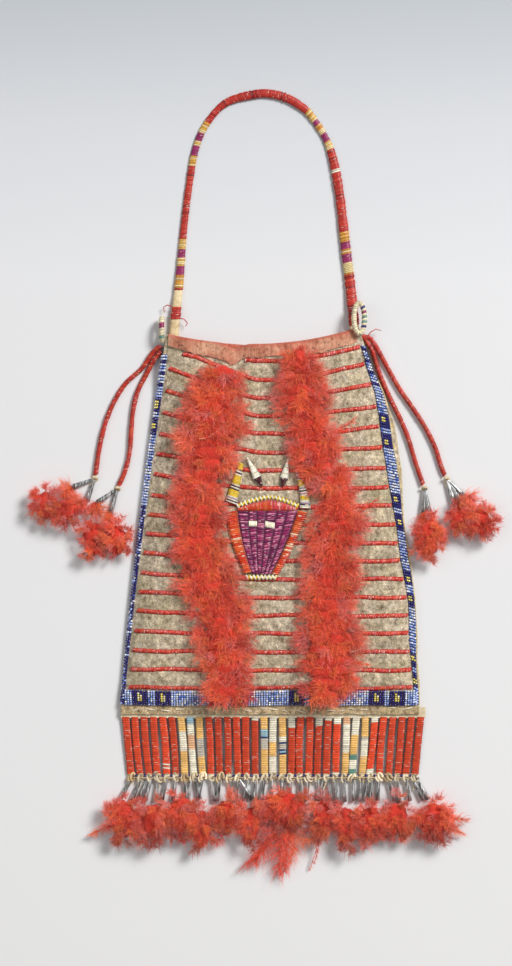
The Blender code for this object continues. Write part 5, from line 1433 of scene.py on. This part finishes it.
def down_column(name, node, edges, seed, wisps):
    """Short plumes over a long bed of matted down, tied at every quilled line, with a few long feathers."""
    ys, lefts, rights = (np.array(c, dtype=float) for c in zip(*edges))
    shapes = [wisp(*w) for w in wisps]
    level = LAYER / MM
    for number, y in enumerate(np.arange(ys[0] - 4, ys[-1] + 3, -KNOT_SPACING)):
        left, right = (float(np.interp(-y, -ys, side)) for side in (lefts, rights))
        halves = np.array(((right - left) * 0.36, 6.6, 4.6)) * MM
        shapes.append(heart(np.array(((left + right) / 2, y, level + 0.8)) * MM, halves, seed + number))
    count = COLUMN_PLUMES
    at = rng.uniform(ys[-1] + 2, ys[0] - 2, count)
    left, right = np.interp(-at, -ys, lefts), np.interp(-at, -ys, rights)
    share = rng.uniform(-1, 1, count)
    x = (left + right) / 2 + share * ((right - left) / 2 - 3.6)
    lift = 6.0 * np.sqrt(np.maximum(0, 1 - (0.9 * share) ** 2)) * rng.uniform(0.5, 1, count)
    aims = np.degrees(np.arctan2(rng.normal(-0.3, 0.75, count), share * 1.6 + rng.normal(0, 0.55, count)))
    roots = np.stack([x, at, level + lift], axis=-1) * MM
    # Plumes near the column's edges get pale pink: painted light through the thin edges.
    edge_light = np.clip(np.abs(share) - 0.6, 0, 1) * 0.6
    shapes.append(fluff(roots, aims, 8.4 * MM, barbs=COLUMN_BARBS, fan=0.95, edge_light=edge_light))
    piece = piece_of(name, *joined(shapes), down_finish)
    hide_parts(node)
    stand_in()


down_column("down_left", "down_column_left", LEFT_EDGES, 40, (
    (-38, 70, 18, 4, 24, 100, 0.3), (-53, 65, 22.5, -4, 17, 40, 0.25, CREAM_SHAFT),
    (-52, -128, 19, 50, 16, 40, 0.3, CREAM_SHAFT), (-56, 40, 17, 190, 15), (-60, 0, 17, 200, 15),
    (-40, -112, 17, -100, 24),
))
down_column("down_right", "down_column_right", RIGHT_EDGES, 70, (
    (52, 4, 17, 14, 30, 120, 0.3), (60, -95, 20, 8, 13, 40, 0.3, CREAM_SHAFT), (40, 68, 17, 6, 24, 100, 0.3),
    (56, -100, 17, -20, 18), (44, -114, 17, -80, 22), (22, 122, 17, 80, 12),
))

# The down that fills the cones hangs in puffs below them: (x, y, half width, half height)
FRINGE_PUFFS = (
    (-111, -223, 12, 20), (-89, -225, 12, 18), (-67, -220, 13, 19), (-51.5, -230, 9.5, 17), (-33, -220, 10.5, 15),
    (-14.5, -227, 8.5, 18), (11.5, -215, 20.5, 17), (40, -222, 9, 17.5), (58.5, -228, 9.5, 19),
    (76, -226.5, 11.5, 17), (95, -222.5, 11.5, 17), (124, -224, 16, 17.5),
)
FRINGE_WISPS = (
    (11, -222, 9, -104, 41, 220, 0.36), (3, -224, 8, -122, 35, 200, 0.34), (19, -222, 8, -88, 33, 200, 0.34),
    (14, -226, 9, -97, 36, 200, 0.34), (8, -226, 8, -113, 38, 200, 0.36), (36, -228, 6, -84, 33, 110, 0.1),
    (38, -228, 6, -88, 28, 90, 0.1), (134, -220, 7, -14, 16), (134, -226, 6, -40, 15), (-122, -226, 6, -140, 16),
)
LOOSE_PLUMES = 70
shapes = [wisp(*w) for w in FRINGE_WISPS]
for number, (x, y, wide, high) in enumerate(FRINGE_PUFFS):
    plumes = round(wide * high / 5)
    shapes += puff(np.array((x, y + 2, 6.5)), wide * 0.98, high * 0.94, 8, plumes, 100 + number, 6.6, 0.5, 0.45)
loose_x, loose_y = rng.uniform(-122, 136, LOOSE_PLUMES), rng.uniform(-236, -210, LOOSE_PLUMES)
loose_roots = np.stack([loose_x, loose_y, rng.uniform(5, 10, LOOSE_PLUMES)], axis=-1) * MM
shapes.append(fluff(loose_roots, rng.normal(-90, 40, LOOSE_PLUMES), 8 * MM, barbs=50, fan=0.8))
fringe_tufts = piece_of("down_fringe", *joined(shapes), down_finish)
stand_in("fringe_down")


# Corner loops: a loop of thong wrapped with white beads or quills at each mouth corner. The right one lies flat,
# and the left one stands on its edge.
LOOP_LENGTHS, LOOP_WIDTH = {"left": 21 * MM, "right": 27 * MM}, 12 * MM
LOOP_STRAND, LOOP_TILT = 2.1 * MM, -0.115


def wrapped_run(points, radius, wrap, tone_at, sides, flat=1.0, depth=0.12, slant=0.0, glint=0.05, groove=0.5):
    """A wrapped strand: a tube whose wraps stand out as ridges, each with its own colour, with painted shade in its
    grooves and painted light on its ridges.

    depth is a groove's as a share of the radius, groove is how light the painted shade in it is, and glint is the
    share of faces given a painted highlight.
    """
    gone = lengths_along(points)
    count = max(3, round(gone[-1] / wrap))
    shares = np.arange(count * WRAP_STEPS + 1) / (count * WRAP_STEPS)
    fine = at_lengths(shares * gone[-1], gone, points)
    radius = np.atleast_1d(radius)
    own_radius = np.interp(shares, np.linspace(0, 1, len(radius)), radius)
    ridge = np.where(np.arange(len(shares)) % WRAP_STEPS == 0, 1 - depth, 1.0)
    ridge = ridge * np.repeat(rng.normal(1, 0.04, count + 1), WRAP_STEPS)[:len(shares)]
    corners, faces = tube(fine, own_radius * ridge, sides, flat=flat, slant=slant)
    tones = np.array([tone_at((k + 0.5) / count) for k in range(count)])
    shown = tones[:, None, None] * np.array((groove, 1.06, 0.86))[:, None, None]
    shown = shown * rng.uniform(0.86, 1.12, (count, WRAP_STEPS, sides, 1))
    glints = (rng.random((count, WRAP_STEPS, sides)) < glint) & (np.arange(WRAP_STEPS) == 1)[None, :, None]
    shown = np.where(glints[..., None], blend(shown, np.array(QUILL_PALE_HIGHLIGHT), 0.7), shown)
    return corners, faces, shown.reshape(-1, 3)[:len(faces[0])]


def centre_of(node):
    """The middle of a CAD node's box."""
    low, high = (Vector(c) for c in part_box(node))
    return np.array(((low + high) / 2)[:])


# Wraps of another colour on each loop, by share of the way round from its foot
LOOP_MARKS = {
    "left": ((0.3, PURPLE), (0.33, PURPLE), (0.1, SLAT_GREEN)),
    "right": ((0.12, DARK_BLUE), (0.18, SLAT_GREEN), (0.26, SLAT_GREEN), (0.33, PURPLE), (0.4, DARK_BLUE)),
}
for side, length in LOOP_LENGTHS.items():
    centre = centre_of(f"corner_loop_{side}")
    turn = np.linspace(0, 2 * np.pi, 49) - np.pi / 2
    wide = (LOOP_WIDTH / 2 - LOOP_STRAND) * np.cos(turn)
    long = (length / 2 - LOOP_STRAND) * np.sin(turn)
    ring = [0 * wide, long, wide] if side == "left" else [wide, long, LOOP_TILT * long]
    round_loop = np.stack(ring, axis=-1) + centre

    def tone_at(share, side=side):
        near = [tone for spot, tone in LOOP_MARKS[side] if abs(share - spot) < 0.018]
        return np.array(near[0] if near else ink(250, 236, 196)) * rng.uniform(0.76, 1.1)

    corners, faces, tones = wrapped_run(
        round_loop, LOOP_STRAND, 1.8 * MM, tone_at, 9, depth=0.1, slant=0.25, glint=0, groove=0.66,
    )
    loop = piece_of(f"thong_loop_{side}", *joined([(corners, faces[:1], [tones])]), quill_finish)
    stand_in(f"corner_loop_{side}")


# Roots of the right thongs, from the loop's foot, and loose ends of quill that have come unwound. Places are in
# millimetres.
THONG_ROOT, THONG_FEET = (69.4, 143.4, 5.4), ((73.2, 139, 3.6), (76.2, 141.6, 3.6))
LOOSE_ENDS = (
    ((73, 141.5, 6), (76, 146, 7), (80, 148.4, 6.4), (84, 147.4, 5)),
    ((-74.5, 165.6, 5.5), (-78, 166.6, 5), (-80.6, 165, 4), (-80, 161, 3)),
    ((-69, 157, 4.6), (-65, 156, 5), (-62.5, 153, 4.4), (-64, 150.4, 3.6)),
)
LOOSE_POINTS = 16


def root_tone(share):
    return choose(1, ((0.7, QUILL_RED), (0.3, QUILL_ORANGE)))[0]


shapes = []
for foot in THONG_FEET:
    root_line = np.linspace(THONG_ROOT, foot, 8) * MM
    corners, faces, tones = wrapped_run(root_line, 1.8 * MM, 1.7 * MM, root_tone, 9, depth=0.2, slant=0.4)
    shapes.append((corners, faces, [tones, tones[:1], tones[-1:]]))
for bends in LOOSE_ENDS:
    bend_line = at_lengths(np.linspace(0, len(bends) - 1, LOOSE_POINTS), range(len(bends)), np.array(bends))
    thin = np.linspace(0.5, 0.3, LOOSE_POINTS) * MM
    shapes.append((*tube(bend_line * MM, thin, 5, flat=0.6), ink(206, 96, 84)))
loose = piece_of("loose_quills", *joined(shapes), quill_finish)
stand_in()


# Handle: a strap of pale hide sewn inside both ends of the mouth, wrapped with quills in bands: red, with purple
# and yellow by turns on both shoulders. The left end is left bare above a short red collar.
STRAP_WIDTH, HANDLE_RISE, LEFT_INSET, RIGHT_INSET = 7 * MM, 180 * MM, 5.5 * MM, 3.8 * MM
# Shares of its thickness that the handle loses, and shares of its rise where it does so
LEFT_SLIM, TOP_SLIM, SHOULDER_SLIM = 0.34, 0.17, 0.2
LEFT_SLIM_BY, LEFT_SLIM_TO, SHOULDER_AT, SHOULDER_SPREAD = 0.45, 0.93, 0.84, 0.09
HANDLE_COUNT, STRAP_COUNT = 900, 240  # points along the handle's middle line and along the strap
COLLAR_FROM, COLLAR_TO, LEFT_WRAP_FROM, RIGHT_WRAP_FROM = 8.5 * MM, 18.5 * MM, 31 * MM, 4 * MM
HANDLE_SHAPE = (
    (-1, 0), (-0.943, 0.222), (-0.896, 0.433), (-0.832, 0.628), (-0.766, 0.768), (-0.647, 0.873),
    (-0.426, 0.964), (-0.1, 1), (0.09, 1), (0.254, 0.982), (0.384, 0.954), (0.502, 0.916),
    (0.669, 0.821), (0.761, 0.726), (0.835, 0.572), (0.898, 0.362), (0.953, 0.187), (1, 0),
)


def through(points, count):
    """Even places along a smooth line through points."""
    points = [Vector(p) for p in points]
    ends = [points[0] * 2 - points[1]] + points + [points[-1] * 2 - points[-2]]
    fine = []
    for i in range(1, len(ends) - 2):
        a, b, c, d = ends[i - 1], ends[i], ends[i + 1], ends[i + 2]
        for step in range(12):
            s = step / 12
            bend, twist = 2 * a - 5 * b + 4 * c - d, 3 * b - a - 3 * c + d
            fine.append(0.5 * (2 * b + (c - a) * s + bend * s * s + twist * s**3))
    fine.append(points[-1])
    fine = np.array([p[:] for p in fine])
    gone = lengths_along(fine)
    return at_lengths(np.linspace(0, gone[-1], count), gone, fine)


mouth_top = BASE_Y + BAG_HEIGHT
handle_left, handle_right = (float(v) for v in side_x(mouth_top))
handle_left += LEFT_INSET
handle_right -= RIGHT_INSET
middle_x, half_span = (handle_left + handle_right) / 2, (handle_right - handle_left) / 2
arch = [(middle_x + half_span * x, mouth_top + HANDLE_RISE * y, 0) for x, y in HANDLE_SHAPE]
tabs = (handle_left, mouth_top - STRAP_TAB, 0), (handle_right, mouth_top - STRAP_TAB, 0)
handle_line = through([tabs[0], *arch, tabs[1]], HANDLE_COUNT)
rise = (handle_line[:, 1] - mouth_top) / HANDLE_RISE
on_left = handle_line[:, 0] < middle_x
widened = ease((rise - LEFT_SLIM_TO) / 0.07)
thick = np.where(
    on_left,
    1 - LEFT_SLIM * ease(rise / LEFT_SLIM_BY) + (LEFT_SLIM - TOP_SLIM) * widened,
    1 - TOP_SLIM * ease(rise) - SHOULDER_SLIM * np.exp(-((rise - SHOULDER_AT) / SHOULDER_SPREAD) ** 2),
)
in_mouth, on_table = HIDE + 2 * CLEAR + BINDING + STRAP / 2, (STRAP / 2 + 3 * CLEAR) * thick
handle_line[:, 2] = blend(in_mouth, on_table, ease((rise - 0.03) / 0.2))

steps = np.linspace(0, HANDLE_COUNT - 1, STRAP_COUNT)
strap_line = at_lengths(steps, range(HANDLE_COUNT), handle_line)
strap_half = np.interp(steps, range(HANDLE_COUNT), thick) * STRAP_WIDTH / 2
worn_half = strap_half * (1 + 0.03 * rng.normal(0, 1, STRAP_COUNT))
corners, faces = tube(strap_line, worn_half, 10, flat=STRAP / STRAP_WIDTH)
strap = piece_of("strap_hide", *joined([(corners, faces, ink(236, 214, 172))]), rawhide_finish)
stand_in("handle_strap")

# The wrapping's bands up each side: the pixel row where a band begins, and its colour
LEFT_BAND_PIXELS = (
    (288, QUILL_RED), (287, ink(230, 190, 120)), (275, ink(234, 168, 66)), (266, PURPLE),
    (257.5, ink(230, 176, 84)), (250, PURPLE), (240, ink(232, 186, 92)), (166, QUILL_RED),
    (155.5, ink(236, 176, 66)), (147, PURPLE), (141.4, ink(236, 186, 80)), (134, PURPLE),
    (123, ink(236, 180, 70)), (0, QUILL_RED),
)
RIGHT_BAND_PIXELS = (
    (274, QUILL_RED), (262.4, ink(238, 214, 150)), (254, PURPLE), (249, ink(238, 214, 140)), (242.5, PURPLE),
    (231.7, ink(236, 180, 72)), (173, QUILL_RED), (170.4, BONE), (149.7, QUILL_RED), (141.4, ink(236, 178, 66)),
    (134.7, PURPLE), (125.6, ink(236, 184, 74)), (120.6, PURPLE), (112, ink(236, 178, 66)), (0, QUILL_RED),
)
HANDLE_RED_MIX = ((0.7, ink(206, 56, 44)), (0.2, ink(222, 78, 58)), (0.1, ink(150, 36, 34)))


def handle_tone(x, y):
    """The colour of one wrap at a place on the handle."""
    pixel_row = PHOTO_Y - y / PHOTO_SCALE
    bands = LEFT_BAND_PIXELS if x < middle_x else RIGHT_BAND_PIXELS
    tone = next((tone for start, tone in bands if pixel_row >= start), QUILL_RED)
    if tone is QUILL_RED:
        return choose(1, HANDLE_RED_MIX)[0]
    if tone is PURPLE or tone is BONE:
        return np.array(tone) * rng.uniform(0.8, 1.25)
    return choose(1, ((0.5, tone), (0.3, ink(248, 222, 160)), (0.2, ink(214, 140, 52))))[0]


def wrap_handle(name, keep, node):
    """Quills wound round the part of the strap that is kept."""
    line = handle_line[keep]
    radii = thick[keep] * (STRAP_WIDTH / 2 + 0.55 * MM)
    gone = lengths_along(line)

    def tone_at(share):
        return handle_tone(*at_lengths(share * gone[-1], gone, line[:, :2]))

    corners, faces, tones = wrapped_run(line, radii, 1.3 * MM, tone_at, 12, flat=0.44, depth=0.11, slant=0.12)
    made = piece_of(name, *joined([(corners, faces[:1], [tones])]), quill_finish)
    stand_in(node)


above_mouth = handle_line[:, 1] - mouth_top
in_collar = on_left & (above_mouth > COLLAR_FROM) & (above_mouth < COLLAR_TO)
wrap_handle("collar_wrap", in_collar, "handle_quill_collar")
wrap_handle("handle_wrap", above_mouth > np.where(on_left, LEFT_WRAP_FROM, RIGHT_WRAP_FROM), "handle_quill_wrap")


# Side tassels: two at each mouth corner. A thong wrapped with red quills lies on the table and ends in a rawhide
# knot with two or three tin cones, filled with red down.
THONG, TASSEL_KNOT, TASSEL_REACH = 1.7 * MM, 2.6 * MM, 66 * MM
# By tassel: the thong's route in millimetres, the turn of each cone in degrees, and the tuft's lobes as places
# from its middle and half sizes in millimetres
TASSELS = {
    "left_outer": (
        ((-82.4, 135.8, 3.6), (-88.5, 131.4, 3), (-97, 119, 1.8), (-109, 108, 1.8), (-118, 94, 1.8),
         (-125, 77, 1.8), (-129.5, 58, 1.8), (-132.4, 38, 1.8)),
        (-12, -62), ((-9, 1, 11, 13.5), (7, -3, 12, 10.5)),
    ),
    "left_inner": (
        ((-82.6, 131.9, 3.6), (-87.8, 125.4, 3), (-94, 114, 1.8), (-100.5, 101, 1.8), (-104, 86, 1.8),
         (-105.4, 70, 1.8), (-106.4, 56, 1.8), (-109.6, 42, 1.8), (-114.6, 30, 1.8)),
        (8, -32), ((9, -3, 10.5, 15), (-8, 1, 10.5, 11), (-8, -12, 6, 5)),
    ),
    "right_inner": (
        ((73.2, 139, 3.6), (77.6, 132, 3.2), (81, 121, 1.8), (86.2, 107, 1.8), (93.4, 91.5, 1.8),
         (100.4, 77, 1.8), (105.8, 63, 1.8), (110.2, 48, 1.8), (116.2, 30.5, 1.8)),
        (-22, -8), ((0, 4, 11, 11), (-2, -6, 10.5, 11)),
    ),
    "right_outer": (
        ((76.2, 141.6, 3.6), (81, 134.4, 3), (88, 121.5, 1.8), (97.8, 104, 1.8), (107.4, 90, 1.8),
         (117.2, 75, 1.8), (124.8, 60, 1.8), (130, 44, 1.8), (132.8, 37.6, 1.8)),
        (-8, 6, 20), ((-11, -3, 10.5, 13), (2, -4, 11, 12), (8, -12, 6, 6)),
    ),
}
OUTER_WISPS = (2, -8), (-3, -18), (-7, -30)  # height over the tuft's middle in millimetres, and aim in degrees
for name, (route, turns, lobes) in TASSELS.items():
    line = through([Vector(p) * MM for p in route], 30)

    def tone_at(share):
        tone = choose(1, ((0.7, QUILL_RED), (0.22, QUILL_ORANGE), (0.08, QUILL_PINK)))[0]
        return tone * rng.uniform(0.8, 1.05)

    corners, faces, tones = wrapped_run(line, THONG * 1.14, 1.8 * MM, tone_at, 10, depth=0.2, slant=0.4, glint=0.08)
    ends = [tones[:1], tones[-1:]]
    thong = piece_of(f"wrapped_thong_{name}", *joined([(corners, faces, [tones, *ends])]), quill_finish)
    stand_in(f"tassel_thong_{name}")
    run = unit(line[-1] - line[-2])
    knot = line[-1] + run * (TASSEL_KNOT + CLEAR)
    knot[2] = TASSEL_KNOT + CLEAR
    along = math.atan2(run[1], run[0])
    shapes = []
    for k in range(3):
        turn = np.linspace(0, 2 * np.pi, 13)
        ring = np.stack([1.7 * np.cos(turn), 1.7 * np.sin(turn), 0 * turn], axis=-1) * MM
        tip = Matrix.Rotation(rng.uniform(0.5, 1.2), 3, "X") @ Matrix.Rotation(k * 2.1, 3, "Z")
        shapes.append((*tube(knot + ring @ np.array(tip).T, 0.95 * MM, 6), jittered([CREAM if k else TAN])[0]))
    tail_way = np.array((math.cos(along - 0.5), math.sin(along - 0.5), -0.15))
    tail = knot + np.linspace(0, 1, 5)[:, None] * tail_way * 6 * MM
    shapes.append((*tube(tail, np.linspace(0.8, 0.4, 5) * MM, 5), jittered([CREAM])[0]))
    knot_piece = piece_of(f"tassel_knot_{name}", *joined(shapes), rawhide_finish)
    stand_in()
    shapes, mouths = [], []
    for turn in turns:
        way = along + math.radians(turn)
        start = knot + np.array((math.cos(way), math.sin(way), 0)) * 1.3 * MM
        shapes.append((*rolled_cone(start, way, CONE_LENGTH, CONE_DROP), TIN_GREY))
        mouths.append(start + np.array((math.cos(way), math.sin(way), 0)) * CONE_LENGTH)
    cone_piece = piece_of(f"tassel_tin_{name}", *joined(shapes), tin_finish)
    stand_in(f"tassel_cones_{name}")
    centre = centre_of(f"tassel_down_{name}")
    shapes = []
    for k, (x_off, y_off, wide, high) in enumerate(lobes):
        spot = centre / MM + (x_off, y_off, -2)
        shapes += puff(spot, wide, high, 7, round(wide * high / 4.4), 200 + 10 * k + len(name), 5.8, 0.2, 0.3)
    if name == "right_outer":
        for y_off, turn in OUTER_WISPS:
            shapes.append(wisp(*(centre[:2] / MM + (4, y_off)), 6, turn, 16, 50, 0.16))
    for mouth in mouths:
        toward = math.degrees(math.atan2(centre[1] - mouth[1], centre[0] - mouth[0]))
        roots = mouth + rng.normal(0, 0.8, (5, 3)) * MM
        shapes.append(fluff(roots + np.array((0, 0, MM)), np.full(5, toward), 9 * MM))
    reached = [shape[0] - line[-1] for shape in shapes]
    for shape, off in zip(shapes, reached):
        far = np.linalg.norm(off, axis=1, keepdims=True)
        shape[0][:] = line[-1] + off * np.minimum(1, TASSEL_REACH / np.maximum(far, MM))
    down_piece = piece_of(f"tassel_tuft_{name}", *joined(shapes), down_finish)
    stand_in(f"tassel_down_{name}")
    length = float(lengths_along(line)[-1])
